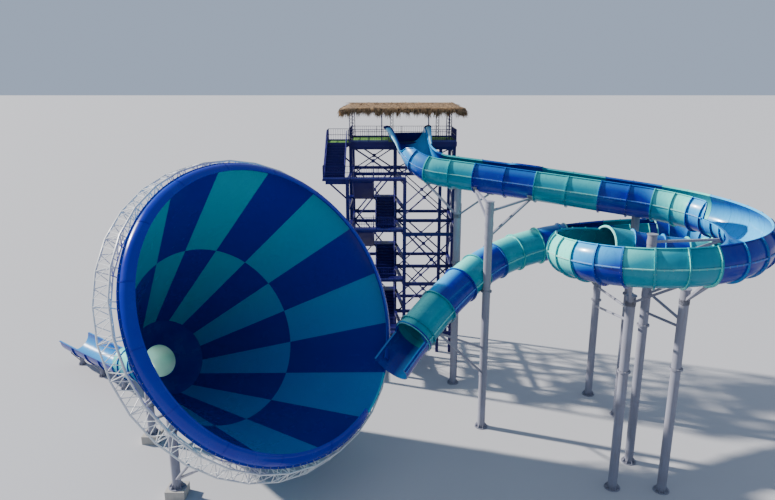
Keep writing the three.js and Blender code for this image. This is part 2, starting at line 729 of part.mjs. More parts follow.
function buildRunout() {
  const start = onFunnel([THROAT_AT + COLLAR_LENGTH, 0], 0);
  const runout = new Route(start, RUNOUT_HEADING, RUNOUT_SLOPE, RUNOUT_LEGS);
  add('runout_pipe', tube(runout, ['pipe']), TEAL, GLOSS);
  const walls = constant([MID_WALL, MID_WALL]);
  add('runout_trough', trough(runout, ['open'], walls), DEEP_BLUE, GLOSS);
  const grown = trough(runout, ['open'], walls, constant(FLUME_RADIUS), SEAT);
  const posts = RUNOUT_POSTS.map((along) => {
    const { x, y, z } = runout.on('open', along).position;
    return bar([x, y, 0], [x, y, z], COLUMN_RADIUS, PIPE_SIDES);
  });
  const low = FLUME_RADIUS + BEAM / 2;
  const first = runout.place('open', RUNOUT_POSTS[0], 0, -low).toArray();
  const last = runout.place('open', RUNOUT_POSTS.at(-1), 0, -low).toArray();
  const whole = fuse([...posts, squareBar(first, last, BEAM)]);
  steel('runout_supports', cut(whole, [grown, flumeFilling(runout, ['open'])]), PALE_GREY);
}

function buildColumns() {
  const seats = flumeSeats();
  const { radius, height, share } = COLUMN_FLANGE;
  for (const [name, { foot, top, arms }] of Object.entries(COLUMNS)) {
    const [x, y] = foot;
    const joint = top * share;
    const pipe = bar([x, y, 0], [x, y, top], COLUMN_RADIUS, PIPE_SIDES);
    const flange = bar([x, y, joint], [x, y, joint + height], radius, PIPE_SIDES);
    const bars = arms.map(([from, leg, along, aside, rise]) =>
      bar([x, y, from], route.place(leg, along, aside, rise).toArray(), ARM));
    steel(name, cut(fuse([pipe, flange, ...bars]), seats), PALE_GREY);
  }
}

// Tower steel. Beams lie just under the plates that they carry.
const underPlate = (level) => level - PLATE - SEAT - BEAM / 2;
const MIDS = LEVELS.map((level, i) => (level + (LEVELS[i - 1] ?? 0)) / 2);
const DECK_UNDER = DECK_TOP - PLATE - BEAM;
const COLUMN_TOP = DECK_UNDER - SEAT;
const column = ([x, y, top]) => squareBar([x, y, 0], [x, y, top], COLUMN_SIZE);

// Beams and zigzag braces between two columns; inset keeps the steel off columns of another frame.
function panel(from, to, heights, { inset = 0, braced = true, size = BEAM } = {}) {
  const a = new THREE.Vector2(...from);
  const b = new THREE.Vector2(...to);
  const between = (set) => {
    const step = b.clone().sub(a).setLength(set);
    return [a.clone().add(step).toArray(), b.clone().sub(step).toArray()];
  };
  const [left, right] = between(inset);
  const beams = heights.map((z) => squareBar([...left, z], [...right, z], size));
  if (!braced) return beams;
  const [start, end] = between(inset + BRACE);
  const braces = heights.slice(1).map((z, i) => {
    const [low, high] = i % 2 ? [z, heights[i]] : [heights[i], z];
    return squareBar([...start, low], [...end, high], BRACE);
  });
  return [...beams, ...braces];
}

const LEVEL_BEAMS = LEVELS.map(underPlate);
const UPPER_BEAMS = [...LEVEL_BEAMS, COLUMN_TOP - BEAM / 2];
const STAIR_BEAMS = [...LEVEL_BEAMS, ...MIDS.map(underPlate)].sort((a, b) => a - b);

// The three column rows met by a line of frames across the tower
const line = ({ front, middle, back }) => ({
  front: [front, ROW.front],
  middle: [middle, ROW.middle],
  back: [back, ROW.back],
});
const LEFT = line({ front: LEFT_LINE, middle: LEFT_LINE, back: LEFT_LINE });
const STAIR = line(STAIR_LINE);
const RIGHT = line({ front: RIGHT_LINE, middle: RIGHT_LINE, back: RIGHT_LINE });

const columns = ({ front, middle, back }, frontTop) => [
  column([...front, frontTop]), column([...middle, COLUMN_TOP]), column([...back, COLUMN_TOP]),
];

// What carries the top landing and the stair head where they reach out past the left columns
function brackets() {
  const row = ROW.front + COLUMN_SIZE / 2 + BEAM / 2;
  const level = LEVEL_BEAMS.at(-1);
  const landing = TOP_LANDING_LEFT + BEAM;
  const head = [STAIR_HEAD.x0 + 2 * BEAM, ROW.middle, COLUMN_TOP - BRACE];
  return [
    squareBar([LEFT_LINE, row, level], [landing, row, level], BEAM),
    squareBar([LEFT_LINE, row, level - BRACKET_DROP], [landing + BEAM, row, level], BRACE),
    squareBar([LEFT_LINE, ROW.middle, COLUMN_TOP - BRACKET_DROP], head, BRACE),
  ];
}

function buildTowerFrames() {
  const top = LEVELS.at(-1);
  steel('left_frame', fuse([
    ...columns(LEFT, top),
    ...panel(LEFT.front, LEFT.middle, STAIR_BEAMS, { braced: false }),
    ...panel(LEFT.middle, LEFT.back, UPPER_BEAMS), ...brackets(),
  ]), NAVY);
  steel('stair_frame', fuse([
    ...columns(STAIR, top),
    ...panel(STAIR.front, STAIR.middle, STAIR_BEAMS, { braced: false, size: SLANT_BEAM }),
    ...panel(STAIR.middle, STAIR.back, UPPER_BEAMS, { braced: false }),
  ]), NAVY);
  steel('right_frame', fuse([
    ...columns(RIGHT, FRONT_RIGHT_TOP),
    ...panel(RIGHT.front, RIGHT.middle, LEVEL_BEAMS.slice(0, -1)),
    ...panel(RIGHT.middle, RIGHT.back, UPPER_BEAMS),
  ]), NAVY);
}

function buildTowerBracing() {
  const inset = COLUMN_SIZE / 2 + SEAT;
  const between = (name, from, to, heights, more = []) =>
    steel(name, fuse([...more, ...panel(from, to, heights, { inset })]), NAVY);
  const extra = [column([EXTRA_COLUMN, ROW.middle, COLUMN_TOP])];
  between('front_bracing', STAIR.front, RIGHT.front, LEVEL_BEAMS.slice(0, -1));
  between('middle_left_bracing', LEFT.middle, STAIR.middle, UPPER_BEAMS);
  between('middle_right_bracing', STAIR.middle, RIGHT.middle, UPPER_BEAMS, extra);
  between('back_left_bracing', LEFT.back, STAIR.back, UPPER_BEAMS);
  between('back_right_bracing', STAIR.back, RIGHT.back, UPPER_BEAMS);
}

// A closed flight seen from the side as (run, height), swept over its width. Its toe reaches below the
// lower floor's top, and its head laps into the upper landing.
function flight({ x0, x1 }, [near, bottom], [far, top], risers, toe, lap) {
  const going = (far - near) / (risers - 1);
  const rise = (top - bottom) / risers;
  const ahead = Math.sign(going);
  const drop = rise + WAIST;
  const outline = [[near, bottom - toe]];
  for (let i = 0; i < risers - 1; i += 1) {
    outline.push([near + i * going, bottom + (i + 1) * rise]);
    outline.push([near + (i + 1) * going, bottom + (i + 1) * rise]);
  }
  if (lap > 0) outline.push([far, top], [far + ahead * lap, top], [far + ahead * lap, top - rise]);
  outline.push([far, top - rise - drop], [near + going * ((drop - toe) / rise), bottom - toe]);
  const shape = new THREE.Shape(outline.map(([run, height]) => new THREE.Vector2(run, height)));
  const geometry = new THREE.ExtrudeGeometry(shape, { depth: x1 - x0, bevelEnabled: false });
  geometry.rotateY(Math.PI / 2).rotateX(Math.PI / 2);
  return facingOut(plain(geometry)).translate(x0, 0, 0);
}

// A railing over a run of corners: posts, a top rail and a middle rail.
function railing(corners, floor) {
  const rail = RAIL / 2;
  const parts = [];
  corners.slice(1).forEach((to, i) => {
    const from = corners[i];
    for (const height of [RAIL_HEIGHT, RAIL_HEIGHT / 2]) {
      parts.push(bar([...from, floor + height], [...to, floor + height], rail));
    }
    const length = Math.hypot(to[0] - from[0], to[1] - from[1]);
    const bays = Math.max(1, Math.round(length / RAIL_BAY));
    for (let k = i === 0 ? 0 : 1; k <= bays; k += 1) {
      const x = from[0] + ((to[0] - from[0]) * k) / bays;
      const y = from[1] + ((to[1] - from[1]) * k) / bays;
      parts.push(bar([x, y, floor], [x, y, floor + RAIL_HEIGHT + rail], rail));
    }
  });
  return parts;
}

// The railing round a landing's open sides, from its back left corner to its back right one.
function landingRailing(x0, x1, y0, top) {
  const [left, right] = [x0 + RAIL, x1 - RAIL];
  const [near, far] = [y0 + RAIL, FLIGHT_NEAR - RAIL];
  return railing([[left, far], [left, near], [right, near], [right, far]], top);
}

function buildStairs() {
  const front = ROW.front + COLUMN_SIZE / 2 + SEAT;
  const behind = ROW.middle - COLUMN_SIZE / 2 - SEAT;
  const left = LEFT_LINE - BEAM / 2;
  const right = STAIR_LINE.front + BEAM / 2;
  const near = FLIGHT_NEAR + SEAT;
  LEVELS.forEach((top, i) => {
    const bottom = i === 0 ? 0 : LEVELS[i - 1];
    const middle = MIDS[i];
    const toe = i === 0 ? 0 : PLATE;
    const rest = box(left, STAIR_LINE.middle + BEAM / 2, FLIGHT_FAR, behind, middle - PLATE, middle);
    const up = flight(UP_FLIGHT, [near, bottom], [FLIGHT_FAR, middle], RISERS, toe, LAP);
    steel(`up_flight_${i + 1}`, fuse([up, rest]), NAVY);
    const end = top === LEVELS.at(-1) ? TOP_LANDING_LEFT : left;
    const landing = box(end, right, front, FLIGHT_NEAR, top - PLATE, top);
    const back = flight(BACK_FLIGHT, [FLIGHT_FAR - SEAT, middle], [FLIGHT_NEAR, top], RISERS, PLATE, LAP);
    const rails = landingRailing(end, right, front, top);
    steel(`back_flight_${i + 1}`, fuse([back, landing, ...rails]), NAVY);
  });
  const head = [STAIR_HEAD.y0 - SEAT, DECK_TOP];
  steel('top_flight', flight(TOP_FLIGHT, [near, LEVELS.at(-1)], head, TOP_RISERS, PLATE, 0), NAVY);
}

function buildDeck() {
  const { x0, x1, y0, y1 } = DECK;
  const head = STAIR_HEAD;
  const plateBottom = DECK_TOP - PLATE;
  const beamTop = DECK_TOP - PLATE / 2;
  const across = (y, from, to) => box(from, to, y - BEAM / 2, y + BEAM / 2, DECK_UNDER, beamTop);
  const away = (x) => box(x - BEAM / 2, x + BEAM / 2, y0, y1, DECK_UNDER, beamTop);
  steel('top_deck', fuse([
    box(x0, x1, y0, y1, plateBottom, DECK_TOP),
    box(head.x0, head.x1 + BEAM, head.y0, head.y1, plateBottom, DECK_TOP),
    across(head.y0 + BEAM / 2, head.x0, head.x1), across(ROW.middle, head.x0, head.x1),
    ...[x0 + BEAM / 2, STAIR_LINE.middle, x1 - BEAM / 2].map(away),
    ...[ROW.middle, ROW.back].map((y) => across(y, x0, x1)),
  ]), FLOOR_GREEN);
  const floor = DECK_TOP + SEAT;
  const [left, right, near, far] = [x0 + RAIL, x1 - RAIL, y0 + RAIL, y1 - RAIL];
  const tubHalf = TUB_RADIUS + 2 * FLUME_FLANGE;
  const tubX = ROUTE_START[0];
  const round = [
    [head.x0 + RAIL, head.y0 + RAIL], [head.x0 + RAIL, head.y1 - RAIL], [left, head.y1 - RAIL],
    [left, far], [right, far], [right, near], [tubX + tubHalf, near],
  ];
  const frontLeft = [[left, head.y0 + RAIL], [left, near], [tubX - tubHalf, near]];
  steel('deck_railing', fuse(railing(round, floor)), NAVY);
  steel('front_railing', fuse(railing(frontLeft, floor)), NAVY);
}

// A hipped roof as a solid wedge down to its eaves, lowered and drawn in by a depth.
function hip(depth) {
  const low = EAVES - depth;
  const bottom = low - (depth ? HOLLOW_DEPTH : THATCH);
  const eaves = [
    [ROOF.x0 + depth, ROOF.y0 + depth], [ROOF.x1 - depth, ROOF.y0 + depth],
    [ROOF.x1 - depth, ROOF.y1 - depth], [ROOF.x0 + depth, ROOF.y1 - depth],
  ];
  const [a, b, c, d] = eaves.map(([x, y]) => new THREE.Vector3(x, y, low));
  const [e, f, g, h] = eaves.map(([x, y]) => new THREE.Vector3(x, y, bottom));
  const west = new THREE.Vector3(RIDGE.x0, RIDGE.y, RIDGE.height - depth);
  const east = new THREE.Vector3(RIDGE.x1, RIDGE.y, RIDGE.height - depth);
  return fromTriangles([
    a, b, east, a, east, west, b, c, east, c, d, west, c, west, east, d, a, west,
    e, f, b, e, b, a, f, g, c, f, c, b, g, h, d, g, d, c, h, e, a, h, a, d, e, g, f, e, h, g,
  ]);
}

function buildRoof() {
  const frontRow = DECK.y0 + POST_INSET;
  const backRow = DECK.y1 - POST_INSET;
  const x0 = FRONT_POSTS[0];
  const x1 = BACK_POSTS.at(-1);
  const plate = EAVES - THATCH / 2;
  const floor = DECK_TOP + SEAT;
  const corners = [[x0, frontRow], [x1, frontRow], [x1, backRow], [x0, backRow]];
  const ridge = [RIDGE.x0, RIDGE.x1].map((x) => [x, RIDGE.y, RIDGE.height - THATCH - POST / 4]);
  const parts = [
    ...FRONT_POSTS.map((x) => squareBar([x, frontRow, floor], [x, frontRow, plate], POST)),
    ...BACK_POSTS.map((x) => squareBar([x, backRow, floor], [x, backRow, plate], POST)),
    ...corners.map((from, i) => squareBar([...from, plate], [...corners[(i + 1) % 4], plate], POST)),
    squareBar(ridge[0], ridge[1], POST),
    ...corners.map((from) => squareBar([...from, plate], ridge[from[0] === x0 ? 0 : 1], POST)),
  ];
  steel('roof_frame', cut(fuse(parts), [cut(hip(0), [hip(THATCH + SEAT)])]), NAVY);
  add('thatch', cut(hip(0), [hip(THATCH)]), STRAW, STRAW_ROUGHNESS);
}

buildFlume();
buildFunnel();
buildRunout();
steel('left_funnel_support', midSupport(false), PALE_GREY);
steel('right_funnel_support', midSupport(true), PALE_GREY);
steel('throat_support', throatSupport(), PALE_GREY);
buildColumns();
buildTowerFrames();
buildTowerBracing();
buildStairs();
buildDeck();
buildRoof();

model.scale.setScalar(MM_PER_REAL_METRE);
const bounds = new THREE.Box3().setFromObject(model, true);
const middle = bounds.getCenter(new THREE.Vector3());
model.position.set(-middle.x, -middle.y, -bounds.min.z);

export default model;
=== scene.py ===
"""Dresses the water slide tower: shells and joints of the flume, the funnel's panels and lip, the ring
truss, columns, stairs, rails and the thatched roof, with a studio stage round them.

Lengths in this file are those of the real slide in metres. The model is made at half that size, so the
functions that make a mesh scale it and set it in the frame."""

import math

import bmesh
import bpy
import numpy as np
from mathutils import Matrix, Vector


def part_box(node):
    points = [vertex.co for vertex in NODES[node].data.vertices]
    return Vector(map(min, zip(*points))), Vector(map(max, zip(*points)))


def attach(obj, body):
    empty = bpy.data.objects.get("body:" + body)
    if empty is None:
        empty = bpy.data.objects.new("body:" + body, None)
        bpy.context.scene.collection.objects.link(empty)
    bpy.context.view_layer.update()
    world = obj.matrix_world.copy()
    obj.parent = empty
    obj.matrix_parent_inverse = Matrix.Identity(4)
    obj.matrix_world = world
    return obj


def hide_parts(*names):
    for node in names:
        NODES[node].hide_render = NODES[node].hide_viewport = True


bl_info = {
    "name": "Water slide tower",
    "version": (1, 0, 0),
    "blender": (4, 5, 0),
    "location": "3D View > Sidebar > Slide",
    "description": "Builds the flume, funnel, columns, stairs and roof of a water slide tower",
    "category": "Object",
}

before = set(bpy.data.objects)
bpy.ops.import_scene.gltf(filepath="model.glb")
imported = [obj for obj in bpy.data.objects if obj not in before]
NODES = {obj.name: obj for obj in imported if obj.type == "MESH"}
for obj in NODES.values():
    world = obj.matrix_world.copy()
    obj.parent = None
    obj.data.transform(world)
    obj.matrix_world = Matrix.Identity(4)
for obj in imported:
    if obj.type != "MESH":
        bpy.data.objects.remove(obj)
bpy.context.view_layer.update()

# Scale and origin, taken from the frame of the tower's right side
SCALE = 0.5
RIGHT_LINE = 5.9
FRONT_FACE = 51.46
_low, _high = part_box("right_frame")
ORIGIN = np.array([(_low.x + _high.x) / 2 - SCALE * RIGHT_LINE, _low.y - SCALE * FRONT_FACE, 0.0])
UP = np.array([0.0, 0.0, 1.0])
SHARP = 32
FLOOR_REACH = 600.0
# Direction of the key light; the shell finishes also paint light on faces that look towards it
SUNNY_SIDE = (-0.81, 0.29, 0.5)

# Flume: legs as (length, turn in degrees, slope at the end) from the tower's deck to the funnel
START, HEADING, SLOPE = (1.73, 56.6, 21.1), -78, 0.4
FLUME_LEGS = {
    "launch": (2.29, 0, 0.75), "swing": (4.08, 50.8, 0.067), "upper": (14.66, 0, 0.08),
    "right": (11.4, -93.9, 0.054), "front": (7.52, -77.5, 0.075), "left": (11.24, -146.96, 0.147),
    "closing": (1.9, -24.84, 0.155), "inner": (3.65, 0, 0.047), "under": (3, 43.9, 0.01),
    "round": (10.21, 149.6, 0.01),
    "back": (6.64, 0, 0.117), "dive": (8.66, 42.9, 0.317), "drop": (5.9, 0, 0.62),
    "entry": (2.2, 0, 0.72),
}
FLUME_NODES = {
    "launch_tub": ("launch",), "launch_bend": ("swing",), "upper_run": ("upper",), "right_turn": ("right",),
    "front_run": ("front",), "left_turn": ("left",), "return_bend": ("closing", "inner", "under", "round"),
    "return_run": ("back",), "dive_tube": ("dive",), "drop_tube": ("drop",), "entry_trough": ("entry",),
}
RADIUS = 1.3
WALL = 0.06
TUB_RADIUS = 1.5
TUB_CLEAR = 1.66
FLANGE_ROOT, FLANGE_GAP = 0.015, 0.004
FLUME_BOLT = (0.022, 0.024)
TUBE_SIDES, JOINT_SIDES = 48, 40
RIM_SIDES, RIM_THICK, RIM_DEEP = 8, 0.06, 0.05

# Moulded sections: where those of each colour start along the flume
SECTION_STARTS = {
    "blue": (0, 2.3, 4.0, 9.15, 11.55, 18.5, 20.4, 25.2, 26.5, 27.9, 29.3, 30.7, 32.0, 33.3, 34.6,
        35.9, 41.15, 42.3, 52.9, 54.85, 58.9, 60.3, 64.3, 65.7, 67.0, 68.8, 73.3, 75.1, 77.0, 82.5,
        86.2, 91.15),
    "teal": (5.3, 7.1, 13.9, 16.2, 22.2, 23.75, 37.25, 38.55, 39.9, 43.5, 44.6, 45.8, 47.0, 48.2, 49.3,
        50.3, 51.19, 56.4, 57.65, 61.6, 63.0, 70.6, 72.0, 78.8, 80.7, 84.4, 88.6, 90.7),
}
SECTIONS = sorted((start, colour) for colour, starts in SECTION_STARTS.items() for start in starts)

# Stretches that are closed tubes, and how far the walls climb elsewhere, as (along, degrees)
CLOSED = ((51.19, 69.95), (76.59, 91.15))
LEFT_WALL = (
    (0, 4), (2.3, 26), (4.6, 58), (11.3, 58), (11.9, 67), (13.8, 67), (14.0, 58), (21, 52), (22.5, 50),
    (69.95, 50), (91.15, 50), (91.2, 12),
)
RIGHT_WALL = (
    (0, 4), (2.3, 8), (2.9, 1.5), (3.05, 25), (3.6, 50), (26.4, 50), (26.7, 44), (26.95, 1.5), (51.19, 1.5),
    (51.24, 50), (91.15, 50), (91.2, 12),
)

SIDES = ((1, LEFT_WALL), (-1, RIGHT_WALL))

# Funnel
MOUTH = np.array([-6.82, 36.34, 12.01])
AXIS = np.array([-0.6687, 0.5649, -0.4832])
MOUTH_RADIUS, THROAT_RADIUS = 9.154, 2.813
MID_AT, THROAT_AT = 7.128, 14.457
FIRST_SEAM, PANEL_TURN, PANELS = 0.4, 22.5, 16
SHELL, SHELL_FLANGE = 0.05, 0.16
LIP_RADIUS = 0.58
ENTRY_FROM, ENTRY_TO = 41, 67
COLLAR, COLLAR_PLATE = 1.3, 0.04
FUNNEL_BOLT, FUNNEL_BOLT_GAP = (0.024, 0.03), 0.6
PANEL_PLATE, PANEL_SLIP = 0.035, 0.0006
RIB_PLACES = (0.34, 0.67)

# Ring truss chords, as (distance behind the mouth, radius), and its first joint in degrees
TRUSS_FRONT, TRUSS_OUTER, TRUSS_INNER = (0.3, 9.6), (1.45, 9.95), (1.45, 9.05)
TRUSS_BAYS, TRUSS_START = 32, 6

# Runout behind the throat
RUNOUT_LEGS = {"pipe": (5.2, 0, 0.06), "open": (9.6, 0, 0.02)}
RUNOUT_HEADING, RUNOUT_SLOPE = 139.8, 0.552
RUNOUT_POSTS, RUNOUT_POST_RADIUS = (1, 4.8, 8.6), 0.2
RUNOUT_STEP = 0.3
PIPE_JOINTS, TROUGH_JOINTS = (0.9, 2.6, 4.3), (0, 2.4, 4.8, 7.2)

# Columns: foot, top and arms as (height on the column, leg, along, across, rise)
COLUMNS = {
    "launch_column": ((5.6, 50.45), 17.2, (
        (14.6, "swing", 2.4, -0.5, -1.0), (14.6, "upper", 4.0, -0.2, -1.2))),
    "tall_column": ((7.0, 43.2), 17.1, (
        (16.8, "upper", 2.9, -0.7, -1.0), (15.5, "upper", 2.9, -0.7, -1.05),
        (16.4, "upper", 7.3, -0.7, -1.0), (14.6, "upper", 7.3, -0.7, -1.05),
        (6.3, "drop", 4.6, 0.7, -1.0), (4.3, "drop", 4.6, 0.7, -1.05))),
    "loop_column_front": ((14.3, 35.7), 12.9, (
        (12.4, "left", 1.2, -0.4, -1.2), (12.4, "front", 5.2, -0.4, -1.2))),
    "loop_column_right": ((17.3, 35.4), 13.4, (
        (12.6, "front", 3.9, -0.4, -1.2), (12.6, "front", 0.8, -0.4, -1.2))),
    "loop_column_middle": ((16.4, 38.6), 15.9, (
        (15.4, "right", 8.0, -1.0, -0.8), (14.0, "right", 8.0, -1.0, -0.85),
        (12.0, "front", 2.0, -0.8, -0.9))),
    "upper_run_column": ((17.75, 44.95), 15.85, ()),
    "return_run_column": ((16.6, 48.35), 13.2, ((9.2, "back", 6.2, 0.3, -1.2),)),
}
COLUMN_RADIUS, COLUMN_BOLT = 0.285, (0.03, 0.03)
GUSSETS, GUSSET_TURN, GUSSET_HALF, GUSSET_TOP = 8, 10, 0.012, 0.35
PLATE_THICK, PLATE_SHARE, CAP_OVER = 0.05, 1.75, 0.05
SPLICE_SHARE, SPLICE_BOLTS, SPLICE_RADIUS, SPLICE_STEP = 0.62, 12, 0.39, 0.058
ARM_HALF, ARM_BAND = 0.075, 0.14
SADDLE_TURN, SADDLE_HALF, SADDLE_THICK = 14, 0.22, 0.045
# Ties between the loop's columns: column and height at each end
COLUMN_TIES = (
    ("return_run_column", 9.3, "loop_column_front", 12.0),
    ("return_run_column", 7.7, "loop_column_front", 11.3),
    ("loop_column_middle", 10.8, "loop_column_right", 11.0),
    ("loop_column_middle", 12.2, "loop_column_right", 11.4),
)
MID_SUPPORT = (6.45, 144.5, ((1.1, 136.6), (1.1, 140)))
THROAT_SUPPORT = (13.4, 146.65)
FOOTING_HALF, FOOTING_HEIGHT = 0.6, 0.6
TIE_HEIGHT, TIE_RADIUS, STRUT_RADIUS = 1.6, 0.09, 0.085

# Tower
LEVELS = (4.4, 8.8, 13.1, 17.35)
DECK_TOP = 19.9
DECK = (-3.45, 6.1, 56.8, 61.6)
STAIR_HEAD = (-5.3, -3.45, 56.2, 58.0)
ROW_FRONT, ROW_MIDDLE, ROW_BACK = 51.6, 57.0, 61.4
LEFT_LINE = -3.25
STAIR_FRONT, STAIR_BACK = 1.4, 0.7
TOP_LANDING_LEFT = -5.3
PLATE, BEAM, COLUMN_SIZE = 0.16, 0.26, 0.28
UP_FLIGHT, BACK_FLIGHT, TOP_FLIGHT = (-0.95, 0.55), (-2.85, -1.25), (-5.2, -3.6)
FLIGHT_NEAR, FLIGHT_FAR = 53.0, 55.7
RAIL_HEIGHT, MID_RAIL = 1.05, 0.52
RISERS, TOP_RISERS = 11, 13
TREAD_INSET = 0.02
BRACE_SHIFT, BRACE_HALF = 0.1, 0.045
CROSS_PLATE, CROSS_THICK = 0.16, 0.02
END_PLATE_LONG, END_PLATE_TALL, END_PLATE_THICK = 0.3, 0.19, 0.012
STRINGER_HALF, STRINGER_DEEP = 0.03, 0.17
HANDRAIL_HEIGHT, HANDRAIL_RADIUS, RAIL_POST_RADIUS = 1.0, 0.03, 0.024
RAIL_INSET = 0.06
BOARD_AT, BOARD_HALF = 0.07, 0.065

# Roof
EAVES = 22.7
RIDGE = (-3.3, 5.9, 59.1, 23.3)
ROOF = (-4.2, 6.85, 55.9, 62.3)
THATCH = 0.28
FRONT_POSTS = (-3.2, -0.5, 3.6, 5.3)
BACK_POSTS = (-3.2, 0.4, 4.7, 5.9)
PLAIN_POSTS = (-0.5, 3.6)
POST_INSET, POST_HALF = 0.25, 0.13
LACING_BAYS = 9
POST_ANGLE, PLAIN_POST, LACING_RADIUS = 0.022, 0.05, 0.014
TIMBER_HALF, TIMBER_DEEP, HIP_HALF, RAFTER_RADIUS, RAFTERS = 0.06, 0.08, 0.05, 0.035, 10
STRAW_INSET, STRAW_FALL = 0.42, 0.42


def unit(v):
    v = np.asarray(v, float)
    return v / np.linalg.norm(v)


def polar(radius, angle):
    """The point at an angle in degrees on a circle round the origin."""
    a = math.radians(angle)
    return radius * math.cos(a), radius * math.sin(a)


def arc_points(radius, start, end, parts):
    return [polar(radius, angle) for angle in np.linspace(start, end, parts + 1)]


def circle(radius, parts):
    return arc_points(radius, 0, 360, parts)[:-1]


def between(a, b, share):
    return np.asarray(a, float) + (np.asarray(b, float) - np.asarray(a, float)) * share


class Route:
    """A centre line of legs with constant curvature and evenly changing slope."""

    def __init__(self, start, heading, slope, legs):
        self.legs, self.starts = [], {}
        position, heading, done = np.array(start, float), math.radians(heading), 0.0
        for name, (length, turn, end) in legs.items():
            self.legs.append((done, length, position, heading, slope, math.radians(turn), end))
            self.starts[name] = done
            position = self._along(self.legs[-1], length)[0]
            heading, slope, done = heading + math.radians(turn), end, done + length
        self.length = done

    @staticmethod
    def _along(leg, along):
        _, length, position, heading, slope, turn, end = leg
        now = heading + turn * along / length
        if turn:
            bend = turn / length
            step = [(math.sin(now) - math.sin(heading)) / bend, (math.cos(heading) - math.cos(now)) / bend]
        else:
            step = [math.cos(heading) * along, math.sin(heading) * along]
        change = (end - slope) / length
        fall = slope * along + change * along * along / 2
        return position + np.array([*step, -fall]), now, slope + change * along

    def frame(self, distance):
        """Position, and the directions to the rider's left, square to the floor, and ahead."""
        leg = [leg for leg in self.legs if leg is self.legs[0] or distance >= leg[0] - 1e-9][-1]
        position, heading, slope = self._along(leg, distance - leg[0])
        left = np.array([-math.sin(heading), math.cos(heading), 0.0])
        ahead = unit([math.cos(heading), math.sin(heading), -slope])
        return position, left, np.cross(ahead, left), ahead

    def section(self, distance, points):
        """Section points (across, rise) set square to the route."""
        position, left, up, _ = self.frame(distance)
        points = np.asarray(points)
        return position + points[:, :1] * left + points[:, 1:] * up

    def place(self, leg, along, across, rise):
        return self.section(self.starts[leg] + along, [(across, rise)])[0]

    def rim(self, distance, angle, radius):
        """A point at an angle round the section."""
        return self.section(distance, [polar(radius, angle)])[0]


FLUME = Route(START, HEADING, SLOPE, FLUME_LEGS)
ACROSS = unit([AXIS[1], -AXIS[0], 0])
AXIS_UNIT = unit(AXIS)
DOWN = np.cross(AXIS_UNIT, ACROSS)


def on_funnel(behind, radius, angle):
    across, down = polar(1, angle)
    return MOUTH + AXIS_UNIT * behind + radius * (across * ACROSS + down * DOWN)


def cone_radius(behind):
    return MOUTH_RADIUS - (MOUTH_RADIUS - THROAT_RADIUS) / THROAT_AT * behind


RUNOUT = Route(on_funnel(THROAT_AT + COLLAR, 0, 0), RUNOUT_HEADING, RUNOUT_SLOPE, RUNOUT_LEGS)


class Shape:
    """Points and faces gathered in real metres, to be made into one mesh."""

    def __init__(self):
        self.points, self.faces, self.count = [], [], 0

    def loft(self, rings, closed=False):
        """Skins rings of equal count, capped at both ends unless they close on themselves."""
        rings = np.asarray(rings, float)
        grid = self.count + np.arange(rings[..., 0].size).reshape(rings.shape[:2])
        near = grid if closed else grid[:-1]
        far = np.roll(grid, -1, 0)[:len(near)]
        quads = np.stack([near, np.roll(near, -1, 1), np.roll(far, -1, 1), far], -1)
        self.faces += quads.reshape(-1, 4).tolist()
        if not closed:
            self.faces += [grid[0].tolist(), grid[-1][::-1].tolist()]
        self.points.append(rings.reshape(-1, 3))
        self.count += grid.size

    def bar(self, start, end, half, sides=4, depth=None):
        """A straight bar: four sides give a square one, more give a round one."""
        start, end = np.asarray(start, float), np.asarray(end, float)
        along = unit(end - start)
        side = unit(np.cross(along, UP) if abs(along[2]) < 0.999 else (1, 0, 0))
        top = np.cross(side, along)
        turn, reach = (45, half * math.sqrt(2)) if sides == 4 else (0, half)
        tall = (depth or half) / half
        corners = arc_points(reach, turn, turn + 360, sides)[:-1]
        ring = np.array([side * x + top * tall * y for x, y in corners])
        self.loft([start + ring, end + ring])

    def box(self, x0, x1, y0, y1, z0, z1):
        self.loft([[(x0, y0, z), (x1, y0, z), (x1, y1, z), (x0, y1, z)] for z in (z0, z1)])

    def upright(self, foot, low, high, radius):
        """A round upright between two heights over the foot."""
        rim = circle(radius, 32)
        self.loft([[(foot[0] + x, foot[1] + y, z) for x, y in rim] for z in (low, high)])


def link(name, mesh):
    obj = bpy.data.objects.new(name, mesh)
    bpy.context.scene.collection.objects.link(obj)
    return obj


def settle(obj, replaces=()):
    """Hands a finished piece to the frame: its body and the nodes it stands for."""
    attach(obj, "root")
    if replaces:
        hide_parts(*replaces)


def smooth(mesh, angle):
    mesh.polygons.foreach_set("use_smooth", [True] * len(mesh.polygons))
    mesh.set_sharp_from_angle(angle=math.radians(angle))


def new_mesh(name, points, edges=(), faces=()):
    """A mesh of points in real metres, put to scale and in its place in the frame."""
    mesh = bpy.data.meshes.new(name)
    mesh.from_pydata((np.asarray(points, float) * SCALE + ORIGIN).tolist(), edges, faces)
    return mesh


def piece(name, shape, finish, replaces=(), angle=SHARP):
    """Makes a gathered shape into a mesh with its faces turned outwards."""
    mesh = new_mesh(name, np.concatenate(shape.points), [], shape.faces)
    work = bmesh.new()
    work.from_mesh(mesh)
    bmesh.ops.recalc_face_normals(work, faces=work.faces[:])
    work.to_mesh(mesh)
    work.free()
    smooth(mesh, angle)
    mesh.materials.append(FINISHES[finish][0])
    settle(link(name, mesh), replaces)


# Nodes, for geometry and for shaders

def new_group(name, kind, inputs, outputs):
    """A node group with sockets as (label, type, default), and its inner ends."""
    tree = bpy.data.node_groups.new(name, kind)
    for way, sockets in (("INPUT", inputs), ("OUTPUT", outputs)):
        for label, socket_type, *default in sockets:
            socket = tree.interface.new_socket(
                name=label, in_out=way, socket_type="NodeSocket" + socket_type)
            if default:
                socket.default_value = default[0]
    return tree, tree.nodes.new("NodeGroupInput").outputs, tree.nodes.new("NodeGroupOutput")


